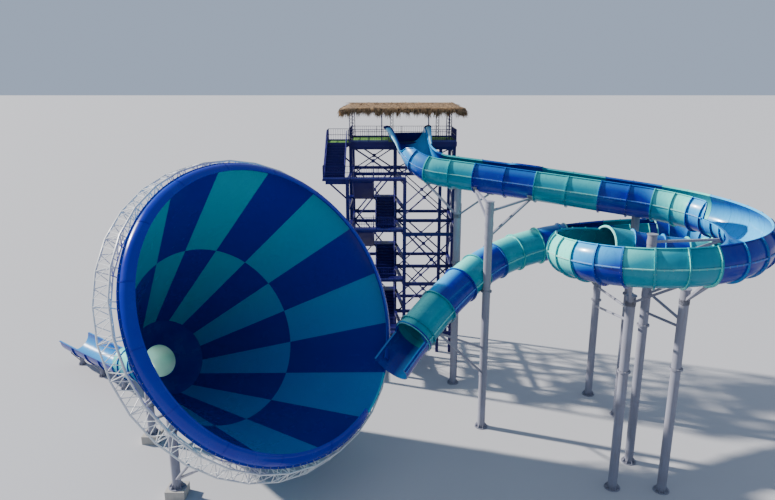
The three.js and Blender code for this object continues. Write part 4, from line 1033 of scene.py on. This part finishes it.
def ring_truss(settings):
    """Three round chords laced on three faces, with brackets to the shell."""
    chords = Shape()
    corners = (TRUSS_FRONT, TRUSS_OUTER, TRUSS_INNER)
    for behind, radius in corners:
        section = [(behind + x, radius + y) for x, y in circle(settings.chord, 8)]
        funnel_sweep(chords, section, TRUSS_START, TRUSS_START + 360, TRUSS_BAYS, closed=True)
    piece("ring_truss_chords", chords, "truss_paint", [f"ring_truss_{i}" for i in (1, 2, 3, 4)])
    turn = 360 / TRUSS_BAYS
    webs, lacing, ties, bracket_root = [], [], [], 0.03

    def on_chord(corner, bays):
        """A point of a chord, which is straight from joint to joint."""
        low = math.floor(bays)
        return between(*(on_funnel(*corner, TRUSS_START + turn * k) for k in (low, low + 1)), bays - low)

    for i in range(TRUSS_BAYS):
        for a, b in zip(corners, corners[1:] + corners[:1]):
            webs.append((on_chord(a, i), on_chord(b, i)))
            for k in range(settings.laces):
                low, middle, high = (on_chord(corner, i + (k + share) / settings.laces)
                                     for corner, share in ((a, 0), (b, 0.5), (a, 1)))
                lacing += [(low, middle), (middle, high)]
        angle = TRUSS_START + turn * i
        for corner, further in ((TRUSS_FRONT, 0), (TRUSS_INNER, 0.3)):
            behind = corner[0] + further
            ties.append((on_funnel(*corner, angle),
                         on_funnel(behind, cone_radius(behind) + bracket_root, angle)))
    rods("ring_truss_webs", webs, settings.web * 1.3, "truss_paint", 6)
    rods("ring_truss_lacing", lacing, settings.web, "truss_paint", 5)
    rods("ring_truss_brackets", ties, settings.web * 1.4, "truss_paint", 6)


class SLIDE_PG_truss(bpy.types.PropertyGroup):
    """Sizes of the ring truss round the funnel's mouth"""
    laces: bpy.props.IntProperty(
        name="Laces", description="Pairs of lacing bars in a bay", default=2, min=1)
    chord: bpy.props.FloatProperty(
        name="Chord", description="Radius of a chord", default=0.055, unit="LENGTH")
    web: bpy.props.FloatProperty(
        name="Web", description="Radius of a lacing bar", default=0.026, unit="LENGTH")


class SLIDE_OT_funnel(bpy.types.Operator):
    """Build the funnel's panels, rolled lip and throat"""
    bl_idname = "slide.funnel"
    bl_label = "Funnel"

    def execute(self, context):
        spots = funnel_panels()
        funnel_lip(spots)
        bolts("funnel_bolts", spots, *FUNNEL_BOLT)
        throat()
        return {"FINISHED"}


class SLIDE_OT_truss(bpy.types.Operator):
    """Build the laced ring round the funnel's mouth"""
    bl_idname = "slide.truss"
    bl_label = "Ring truss"

    def execute(self, context):
        ring_truss(context.scene.slide_truss)
        return {"FINISHED"}


# Columns

def pillar(shape, foot, top, radius=COLUMN_RADIUS, base=0.0):
    """A round column with a base plate, gussets, and a cap plate."""
    plate, cap, foot_top = radius * PLATE_SHARE, top - PLATE_THICK, base + PLATE_THICK
    for low, high, size in ((base, cap, radius), (base, foot_top, plate), (cap, top, radius + CAP_OVER)):
        shape.upright(foot, low, high, size)
    inner, outer = radius - 0.01, plate - 0.04
    outline = [(inner, foot_top), (outer, foot_top), (outer, base + 0.09), (inner, base + GUSSET_TOP)]
    for k in range(GUSSETS):
        angle = 360 * k / GUSSETS + GUSSET_TURN
        (x, y), (u, v) = polar(1, angle), polar(GUSSET_HALF, angle + 90)
        shape.loft([[(foot[0] + x * r + u * side, foot[1] + y * r + v * side, z) for r, z in outline]
                    for side in (-1, 1)])


def bolt_circle(spots, foot, height, radius, count, first):
    for k in range(count):
        x, y = polar(radius, 360 * k / count + first)
        spots.append(((foot[0] + x, foot[1] + y, height), UP))


def arm(shape, start, leg, along, across, rise):
    """A square arm from a column out to the flume's skin, ending in a saddle under the flume."""
    start, target = np.array(start, float), FLUME.place(leg, along, across, rise)
    at = FLUME.starts[leg] + along
    position, left, up, _ = FLUME.frame(at)
    path = [start + (target - start) * share for share in np.linspace(0, 1, 200)]
    end = next((p for p in path if math.hypot((p - position) @ left, (p - position) @ up) < RADIUS + 0.05),
               target)
    shape.bar(start, end, ARM_HALF)
    apart = end - position
    angle = math.degrees(math.atan2(apart @ up, apart @ left))
    inner, outer, low, high = RADIUS + 0.01, RADIUS + SADDLE_THICK, at - SADDLE_HALF, at + SADDLE_HALF
    shape.loft([[FLUME.rim(s, turn, radius)
                 for s, radius in ((low, inner), (high, inner), (high, outer), (low, outer))]
                for turn in np.linspace(angle - SADDLE_TURN, angle + SADDLE_TURN, 9)])


def columns():
    """The flume's columns with splices, arms and the ties between them."""
    spots = []
    for name, (foot, top, arms) in COLUMNS.items():
        shape = Shape()
        pillar(shape, foot, top)
        joint = top * SPLICE_SHARE
        for low in (joint, joint + SPLICE_STEP):
            shape.upright(foot, low, low + PLATE_THICK, SPLICE_RADIUS)
        bolt_circle(spots, foot, joint + 0.125, SPLICE_RADIUS - 0.05, SPLICE_BOLTS, 0)
        bolt_circle(spots, foot, 0.07, COLUMN_RADIUS * PLATE_SHARE - 0.08, GUSSETS, 32)
        for height, *place in arms:
            arm(shape, (*foot, height), *place)
            shape.upright(foot, height - ARM_BAND, height + ARM_BAND, COLUMN_RADIUS + 0.02)
        piece(f"{name}_steel", shape, "column_paint", (name,))
    bolts("column_bolts", spots, *COLUMN_BOLT)
    ties = [((*COLUMNS[one][0], low), (*COLUMNS[other][0], high)) for one, low, other, high in COLUMN_TIES]
    rods("column_ties", ties, TIE_RADIUS, "column_paint", 8)


def funnel_supports():
    """Columns on footings under the cone, left and right of it and under its throat."""
    feet = Shape()
    behind, at, braces = MID_SUPPORT
    for name, turned in (("left_funnel_support", lambda a: a), ("right_funnel_support", lambda a: 180 - a)):
        shape = Shape()
        x, y, _ = column_to_cone(shape, feet, behind, turned(at))
        for height, angle in braces:
            end = on_funnel(TRUSS_OUTER[0], TRUSS_OUTER[1] * polar(1, 180 / TRUSS_BAYS)[0], turned(angle))
            shape.bar((x, y, height), end, STRUT_RADIUS, 12)
        piece(f"{name}_steel", shape, "column_paint", (name,))
    shape = Shape()
    behind, at = THROAT_SUPPORT
    heads = [column_to_cone(shape, feet, behind, angle) for angle in (at, 180 - at)]
    shape.bar(*((x, y, TIE_HEIGHT) for x, y, _ in heads), TIE_RADIUS)
    piece("throat_support_steel", shape, "column_paint", ("throat_support",))
    piece("support_footings", feet, "concrete")


def under_cone(x, y, guess):
    """Height of the cone's flanged outside straight above a point."""
    low, high = guess - 1.5, guess + 1.0
    for _ in range(30):
        middle = (low + high) / 2
        apart = np.array([x, y, middle]) - MOUTH
        behind = apart @ AXIS_UNIT
        if np.linalg.norm(apart - AXIS_UNIT * behind) > cone_radius(behind) + SHELL:
            low = middle
        else:
            high = middle
    return low


def column_to_cone(shape, feet, behind, angle):
    """A column from its footing up to a plate that is cut to the slant of the cone. Gives its head."""
    x, y, z = head = on_funnel(behind, cone_radius(behind), angle)
    pillar(shape, (x, y), z - 1.2, base=FOOTING_HEIGHT)
    for radius, foot_at in ((COLUMN_RADIUS - 0.005, lambda top: min(top - 1.0, z - 1.3)),
                            (COLUMN_RADIUS + 0.1, lambda top: top - PLATE_THICK)):
        ring = [(x + u, y + v) for u, v in circle(radius, 32)]
        tops = [under_cone(u, v, z) - 0.012 for u, v in ring]
        shape.loft([[(u, v, foot_at(top)) for (u, v), top in zip(ring, tops)],
                    [(u, v, top) for (u, v), top in zip(ring, tops)]])
    feet.box(x - FOOTING_HALF, x + FOOTING_HALF, y - FOOTING_HALF, y + FOOTING_HALF, 0, FOOTING_HEIGHT)
    return head


class SLIDE_OT_columns(bpy.types.Operator):
    """Build the flume's and the funnel's columns with their arms"""
    bl_idname = "slide.columns"
    bl_label = "Columns"

    def execute(self, context):
        columns()
        funnel_supports()
        return {"FINISHED"}


# Tower

def under_plate(level):
    return level - PLATE - BEAM / 2


def lifted(plan, z=0):
    """A point or direction on the plan, with its height."""
    return np.array([*plan, z])


def crossing_braces():
    """The second brace of each crossed bay, set off the first one, with a plate where they meet."""
    levels = [under_plate(z) for z in LEVELS]
    upper = [*levels, DECK_TOP - PLATE - BEAM * 1.5]
    bays = [
        ((STAIR_FRONT, ROW_FRONT), (RIGHT_LINE, ROW_FRONT), levels[:-1], (0, -BRACE_SHIFT)),
        ((RIGHT_LINE, ROW_FRONT), (RIGHT_LINE, ROW_MIDDLE), levels[:-1], (BRACE_SHIFT, 0)),
        ((RIGHT_LINE, ROW_MIDDLE), (RIGHT_LINE, ROW_BACK), upper, (BRACE_SHIFT, 0)),
        ((LEFT_LINE, ROW_MIDDLE), (LEFT_LINE, ROW_BACK), upper, (-BRACE_SHIFT, 0)),
        *(((x0, row), (x1, row), upper, (0, BRACE_SHIFT)) for row in (ROW_MIDDLE, ROW_BACK)
          for x0, x1 in ((LEFT_LINE, STAIR_BACK), (STAIR_BACK, RIGHT_LINE))),
    ]
    shape, plates = Shape(), Shape()
    for a, b, heights, shift in bays:
        a, b, shift = np.array(a), np.array(b), np.array(shift)
        way = unit(b - a)
        inset = way * (COLUMN_SIZE / 2 + 0.08)
        for i, (low, high) in enumerate(zip(heights, heights[1:])):
            first, last = (low, high) if i % 2 else (high, low)
            start, end = lifted(a + inset + shift, first), lifted(b - inset + shift, last)
            shape.bar(start, end, BRACE_HALF)
            middle = between(start, end, 0.5) - lifted(shift / 2)
            reach = lifted(way) * CROSS_PLATE
            plates.bar(middle - reach, middle + reach, CROSS_THICK, depth=CROSS_PLATE)
            for corner, side in ((a, 1), (b, -1)):
                for z in (low, high):
                    root = lifted(corner + side * way * (COLUMN_SIZE / 2 + 0.01) + shift * 0.9, z)
                    plates.bar(root, root + lifted(side * way) * END_PLATE_LONG, END_PLATE_THICK,
                               depth=END_PLATE_TALL)
    piece("tower_cross_braces", shape, "navy_paint")
    piece("tower_gussets", plates, "navy_edge")


def flights():
    """Every flight as (x0, x1, near, bottom, far, top)."""
    floors = (0, *LEVELS)
    for bottom, top in zip(floors, floors[1:]):
        middle = (bottom + top) / 2
        yield *UP_FLIGHT, FLIGHT_NEAR, bottom, FLIGHT_FAR, middle
        yield *BACK_FLIGHT, FLIGHT_FAR, middle, FLIGHT_NEAR, top
    yield *TOP_FLIGHT, FLIGHT_NEAR, LEVELS[-1], STAIR_HEAD[2], DECK_TOP


def stairs():
    """Handrails, mid rails, posts, stringers and nosings of every flight."""
    rails, posts, nosings, stringers = [], [], Shape(), Shape()
    for x0, x1, near, bottom, far, top in flights():
        for x, side in ((x0, -1), (x1, 1)):
            foot, head = (np.array([x + side * RAIL_INSET, y, z]) for y, z in ((near, bottom), (far, top)))
            rails += [(foot + UP * height, head + UP * height) for height in (HANDRAIL_HEIGHT, MID_RAIL)]
            for share in np.linspace(0.02, 0.98, 5):
                spot = between(foot, head, share)
                posts.append((spot + UP * 0.02, spot + UP))
            foot, head = ((x + side * 0.035, y, z - 0.02) for y, z in ((near, bottom), (far, top)))
            clear_of_ground = 0.0 if bottom else 0.09
            stringers.bar(between(foot, head, clear_of_ground), head, STRINGER_HALF, depth=STRINGER_DEEP)
        risers = TOP_RISERS if top == DECK_TOP else RISERS
        way = math.copysign(1, far - near)
        for k in range(1, risers):
            y = near + (far - near) * (k - 1) / (risers - 1)
            z = bottom + (top - bottom) * k / risers
            y0, y1 = sorted((y - way * 0.02, y + way * 0.05))
            nosings.box(x0 + TREAD_INSET, x1 - TREAD_INSET, y0, y1, z - 0.02, z + 0.015)
    piece("stair_stringers", stringers, "navy_edge")
    piece("stair_nosings", nosings, "navy_paint")
    rods("stair_handrails", rails, HANDRAIL_RADIUS, "navy_edge", 8)
    rods("stair_rail_posts", posts, RAIL_POST_RADIUS, "navy_paint", 6)


def railings(settings):
    """Balusters between the rails of the landings and the deck, and toe boards at their feet."""
    lines, boards = [], Shape()
    front = ROW_FRONT + COLUMN_SIZE / 2 + RAIL_INSET
    near = FLIGHT_NEAR - RAIL_INSET
    runs = []
    for top in LEVELS:
        left = (TOP_LANDING_LEFT if top == LEVELS[-1] else LEFT_LINE - BEAM / 2) + RAIL_INSET
        right = STAIR_FRONT + BEAM / 2 - RAIL_INSET
        runs.append((top, [(left, near), (left, front), (right, front), (right, near)]))
    x0, x1, y0, y1 = (edge + side * RAIL_INSET for edge, side in zip(DECK, (1, -1, 1, -1)))
    h0, _, hy0, hy1 = (edge + side * RAIL_INSET for edge, side in zip(STAIR_HEAD, (1, -1, 1, -1)))
    runs += [
        (DECK_TOP, [(h0, hy0), (h0, hy1), (x0, hy1), (x0, y1), (x1, y1), (x1, y0),
                    (START[0] + TUB_CLEAR, y0)]),
        (DECK_TOP, [(x0, hy0), (x0, y0), (START[0] - TUB_CLEAR, y0)]),
    ]
    for floor, corners in runs:
        for a, b in zip(corners, corners[1:]):
            boards.bar((*a, floor + BOARD_AT), (*b, floor + BOARD_AT), 0.012, depth=BOARD_HALF)
            count = max(2, round(math.dist(a, b) / settings.baluster))
            for k in range(1, count):
                spot = between(a, b, k / count)
                lines.append((lifted(spot, floor + 0.06), lifted(spot, floor + RAIL_HEIGHT - 0.03)))
    rods("railing_balusters", lines, 0.012, "navy_paint", 4)
    piece("toe_boards", boards, "navy_edge")


def paint_nodes():
    """The frame's own steel keeps its shape and takes its finish here."""
    for name, obj in NODES.items():
        steel = name.endswith(("_frame", "_bracing", "_railing")) or "_flight" in name
        if name == "top_deck" or steel and name != "roof_frame":
            obj.data.materials.clear()
            obj.data.materials.append(FINISHES["navy_paint" if steel else "deck_matting"][0])


class SLIDE_PG_tower(bpy.types.PropertyGroup):
    """Sizes of the tower's fine parts"""
    baluster: bpy.props.FloatProperty(
        name="Baluster spacing", description="Distance between balusters", default=0.2, min=0.08,
        unit="LENGTH")


class SLIDE_OT_tower(bpy.types.Operator):
    """Paint the tower's frames and add crossed braces, gussets, stair parts and railings"""
    bl_idname = "slide.tower"
    bl_label = "Tower"

    def execute(self, context):
        paint_nodes()
        crossing_braces()
        stairs()
        railings(context.scene.slide_tower)
        return {"FINISHED"}


# Roof

def laced_post(angles, lacing, x, y, top):
    """A post of four corner bars laced on its four sides."""
    corners = [(x + sx * POST_HALF, y + sy * POST_HALF) for sx, sy in ((-1, -1), (1, -1), (1, 1), (-1, 1))]
    levels = np.linspace(DECK_TOP, top, LACING_BAYS + 1)
    for corner, other in zip(corners, corners[1:] + corners[:1]):
        angles.bar((*corner, DECK_TOP), (*corner, top), POST_ANGLE)
        for k in range(LACING_BAYS):
            first, last = (corner, other) if k % 2 else (other, corner)
            lacing.append(((*first, levels[k]), (*last, levels[k + 1])))


def roof_steel():
    """The posts that carry the roof, and the timbers under the thatch."""
    angles, lacing, timbers = Shape(), [], Shape()
    x0, x1 = FRONT_POSTS[0], BACK_POSTS[-1]
    rows = (DECK[2] + POST_INSET, DECK[3] - POST_INSET)
    plate, peak = EAVES - 0.12, RIDGE[3] - THATCH - 0.08
    for y, places in zip(rows, (FRONT_POSTS, BACK_POSTS)):
        for x in places:
            if x in PLAIN_POSTS:
                angles.bar((x, y, DECK_TOP), (x, y, plate), PLAIN_POST)
            else:
                laced_post(angles, lacing, x, y, plate)
    corners = [(x0, rows[0]), (x1, rows[0]), (x1, rows[1]), (x0, rows[1])]
    for corner, other in zip(corners, corners[1:] + corners[:1]):
        timbers.bar((*corner, plate), (*other, plate), TIMBER_HALF, depth=TIMBER_DEEP)
        end = RIDGE[0] if corner[0] == x0 else RIDGE[1]
        timbers.bar((*corner, plate), (end, RIDGE[2], peak), HIP_HALF)
    timbers.bar((RIDGE[0], RIDGE[2], peak), (RIDGE[1], RIDGE[2], peak), TIMBER_HALF)
    for x in np.linspace(x0, x1, RAFTERS + 2)[1:-1]:
        head = min(max(x, RIDGE[0]), RIDGE[1])
        for y in rows:
            timbers.bar((x, y, plate), (head, RIDGE[2], peak), RAFTER_RADIUS, 6)
    piece("roof_posts", angles, "navy_paint", ("roof_frame",))
    rods("roof_post_lacing", lacing, LACING_RADIUS, "navy_paint", 4)
    piece("roof_rafters", timbers, "navy_paint")


def roof_ring(x0, x1, y0, y1, z):
    """Points round a rectangle, evenly shared over its sides, from its near left corner."""
    corners = [(x0, y0), (x1, y0), (x1, y1), (x0, y1)]
    return [(*between(a, b, k / 12), z)
            for a, b in zip(corners, corners[1:] + corners[:1]) for k in range(12)]


def thatch_bed():
    """The mass of thatch: a hipped mound with rounded edges and its underside open to the rafters."""
    x0, x1, y0, y1 = ROOF
    rings = []
    edge, top = 0.45, 0.16
    for out, height in ((-0.495, -0.2), (-0.18, -0.24), (-0.09, -0.1), (-0.144, 0.04), (-0.9 * edge, top)):
        rings.append(roof_ring(x0 - out, x1 + out, y0 - out, y1 + out, EAVES + height))
    for share in (0.3, 0.55, 0.8, 1.0):
        inset = edge + (RIDGE[2] - y0 - 0.5) * share
        left, right = between((x0 + edge, x1 - edge), RIDGE[:2], share)
        rise = EAVES + top + (RIDGE[3] - 0.1 - EAVES - top) * share
        rings.append(roof_ring(left, right, y0 + inset, y1 - inset, rise))
    shape = Shape()
    shape.loft(rings)
    piece("thatch_bed", shape, "thatch_straw", ("thatch",), 60)


def straw(name, quads, settings, density, length, width, tilt, seed):
    """Straw grown on flat quads, each given with the way that its leaves lie."""
    points, faces, ways = [], [], []
    for corners, way in quads:
        faces.append(tuple(range(len(points), len(points) + len(corners))))
        points += list(corners)
        ways += [way] * len(corners)
    grow(name, new_mesh(name, points, [], faces), "straw", "thatch_straw", {
        "Density": settings.density * density, "Length": settings.leaf * length * SCALE,
        "Width": width * SCALE, "Tilt": tilt, "Seed": settings.seed + seed}, ways=ways)


def thatch(settings):
    """Leaves on the slopes, a fringe all round the eaves and tufts that hang from it."""
    thatch_bed()
    x0, x1, y0, y1 = (edge + side * STRAW_INSET for edge, side in zip(ROOF, (1, -1, 1, -1)))
    low = EAVES + 0.1
    eaves = [np.array([x, y, low]) for x, y in ((x0, y0), (x1, y0), (x1, y1), (x0, y1))]
    left, right = (np.array([x, RIDGE[2], RIDGE[3] - 0.12]) for x in RIDGE[:2])
    middle = between(left, right, 0.5)
    brow = [between(corner, middle, 0.12) * (1, 1, 0) + UP * low for corner in eaves]
    slopes, fringe, tufts = [], [], []
    tops = ((right, left), (right,), (left, right), (left,))
    for k, (side, top) in enumerate(zip(((0, -1), (1, 0), (0, 1), (-1, 0)), tops)):
        n = (k + 1) % 4
        slopes.append(((brow[k], brow[n], *top), lifted(side, -STRAW_FALL)))
        a, b, shift = eaves[k], eaves[n], 0.3 * lifted(side)
        way = shift - UP
        under = shift * 0.2 - UP * 0.12
        fringe.append(((a + shift, b + shift, b + under, a + under), way))
        count = int(np.linalg.norm(b - a) / settings.tuft)
        for i in range(count):
            half = 0.2 + 0.12 * math.sin(5.0 * i)
            start, end = (between(a, b, (i + 0.5 + turn * half) / count) + shift * 0.3 for turn in (-1, 1))
            over, under = shift * 0.4, -UP * 0.16
            tufts.append(((start + over, end + over, end + under, start + under), way))
    straw("thatch_leaves", slopes, settings, 1, 1, 0.035, 0.5, 0)
    straw("thatch_fringe", fringe, settings, 5, 0.9, 0.02, 0.5, 1)
    straw("thatch_tufts", tufts, settings, 8, 1.15, 0.035, 0.3, 2)


class SLIDE_PG_roof(bpy.types.PropertyGroup):
    """Sizes of the thatch"""
    density: bpy.props.FloatProperty(
        name="Density", description="Leaves on each square metre", default=420)
    leaf: bpy.props.FloatProperty(
        name="Leaf", description="Length of a leaf", default=0.62, unit="LENGTH")
    tuft: bpy.props.FloatProperty(
        name="Tuft spacing", description="Distance between hanging tufts", default=0.8, unit="LENGTH")
    seed: bpy.props.IntProperty(name="Seed", description="Seed of the leaves' places", default=7)


class SLIDE_OT_roof(bpy.types.Operator):
    """Build the thatched roof on its laced posts"""
    bl_idname = "slide.roof"
    bl_label = "Roof"

    def execute(self, context):
        roof_steel()
        thatch(context.scene.slide_roof)
        return {"FINISHED"}


# Finishes and stage

class SLIDE_PG_colours(bpy.types.PropertyGroup):
    """Colours of the slide"""
    teal: bpy.props.FloatVectorProperty(
        name="Teal", description="Teal sections", subtype="COLOR", default=(0.0, 0.23, 0.33))
    blue: bpy.props.FloatVectorProperty(
        name="Blue", description="Dark blue sections", subtype="COLOR", default=(0.0, 0.004, 0.27))
    royal: bpy.props.FloatVectorProperty(
        name="Royal blue", description="Funnel lip", subtype="COLOR", default=(0.001, 0.01, 0.34))
    navy: bpy.props.FloatVectorProperty(
        name="Navy", description="Tower steel", subtype="COLOR", default=(0.004, 0.002, 0.1))


class SLIDE_OT_finishes(bpy.types.Operator):
    """Make the materials"""
    bl_idname = "slide.finishes"
    bl_label = "Finishes"

    def execute(self, context):
        build_finishes(context.scene.slide_colours)
        return {"FINISHED"}


class SLIDE_PG_stage(bpy.types.PropertyGroup):
    """Camera and lights"""
    height: bpy.props.FloatProperty(
        name="Camera height", description="Camera above the ground", default=25.0, unit="LENGTH")
    pitch: bpy.props.FloatProperty(
        name="Pitch", description="Camera's tilt below level, in degrees", default=14.7)
    focal: bpy.props.FloatProperty(name="Focal length", description="Lens in millimetres", default=29.8)
    sun: bpy.props.FloatProperty(
        name="Key light", description="Strength of the low key light", default=8.5)
    key_from: bpy.props.FloatVectorProperty(
        name="Key from", description="Direction the key light comes from", default=SUNNY_SIDE,
        subtype="DIRECTION")
    fill: bpy.props.FloatProperty(
        name="Fill", description="Strength of the surrounding light", default=0.6)


class SLIDE_OT_stage(bpy.types.Operator):
    """Set the floor, lights and camera"""
    bl_idname = "slide.stage"
    bl_label = "Stage"

    def execute(self, context):
        settings = context.scene.slide_stage
        add_camera(context.scene, settings)
        add_lights(context.scene, settings)
        add_floor()
        return {"FINISHED"}


def add_camera(scene, settings):
    """A camera that stands where the photograph was taken from."""
    data = bpy.data.cameras.new("photo_camera")
    data.lens = settings.focal
    data.sensor_width = 36.0
    data.clip_end = 2000.0
    camera = link("photo_camera", data)
    camera.location = np.array([0, 0, settings.height]) * SCALE + ORIGIN
    camera.rotation_euler = (math.radians(90 - settings.pitch), 0, 0)
    scene.camera = camera


def add_lights(scene, settings):
    """A low sun as the key light and an even sky as the fill."""
    sun = bpy.data.lights.new("key_light", "SUN")
    sun.energy = settings.sun
    sun.angle = math.radians(2.0)
    sun.color = (1.0, 0.95, 0.88)
    lamp = link("key_light", sun)
    x, y, z = settings.key_from
    lamp.rotation_euler = (math.atan2(math.hypot(x, y), z), 0, math.atan2(y, x) + math.pi / 2)
    world = bpy.data.worlds.new("studio")
    world.use_nodes = True
    feed(world.node_tree, world.node_tree.nodes["Background"], {
        "Color": (0.62, 0.76, 1.0, 1.0), "Strength": settings.fill})
    scene.world = world


def add_floor():
    """A wide pale floor."""
    mesh = bpy.data.meshes.new("floor")
    corners = [(FLOOR_REACH * x, FLOOR_REACH * y, 0) for x, y in ((-1, -1), (1, -1), (1, 1), (-1, 1))]
    mesh.from_pydata(corners, [], [(0, 1, 2, 3)])
    floor = link("floor", mesh)
    material = bpy.data.materials.new("floor")
    material.use_nodes = True
    feed(material.node_tree, material.node_tree.nodes["Principled BSDF"], {
        "Base Color": (0.5, 0.5, 0.52, 1.0), "Roughness": 0.9})
    mesh.materials.append(material)


class SLIDE_PT_panel(bpy.types.Panel):
    """Lists the slide's pieces"""
    bl_idname = "SLIDE_PT_panel"
    bl_label = "Water slide"
    bl_space_type = "VIEW_3D"
    bl_region_type = "UI"
    bl_category = "Slide"

    def draw(self, context):
        layout = self.layout
        for operator in OPERATORS:
            layout.operator(operator.bl_idname)
        for name in GROUP_PROPERTIES:
            box = layout.box()
            group = getattr(context.scene, name)
            for key in group.__annotations__:
                box.prop(group, key)


GROUP_PROPERTIES = {
    "slide_colours": SLIDE_PG_colours, "slide_flume": SLIDE_PG_flume, "slide_truss": SLIDE_PG_truss,
    "slide_tower": SLIDE_PG_tower, "slide_roof": SLIDE_PG_roof, "slide_stage": SLIDE_PG_stage,
}
OPERATORS = (
    SLIDE_OT_finishes, SLIDE_OT_flume, SLIDE_OT_runout, SLIDE_OT_funnel, SLIDE_OT_truss,
    SLIDE_OT_columns, SLIDE_OT_tower, SLIDE_OT_roof, SLIDE_OT_stage,
)


def register():
    for cls in (*GROUP_PROPERTIES.values(), *OPERATORS, SLIDE_PT_panel):
        bpy.utils.register_class(cls)
    for name, cls in GROUP_PROPERTIES.items():
        setattr(bpy.types.Scene, name, bpy.props.PointerProperty(type=cls))


def unregister():
    for name in GROUP_PROPERTIES:
        delattr(bpy.types.Scene, name)
    for cls in reversed((*GROUP_PROPERTIES.values(), *OPERATORS, SLIDE_PT_panel)):
        bpy.utils.unregister_class(cls)


def main():
    register()
    for operator in OPERATORS:
        getattr(bpy.ops.slide, operator.bl_idname.split(".")[1])()


if __name__ == "__main__":
    main()
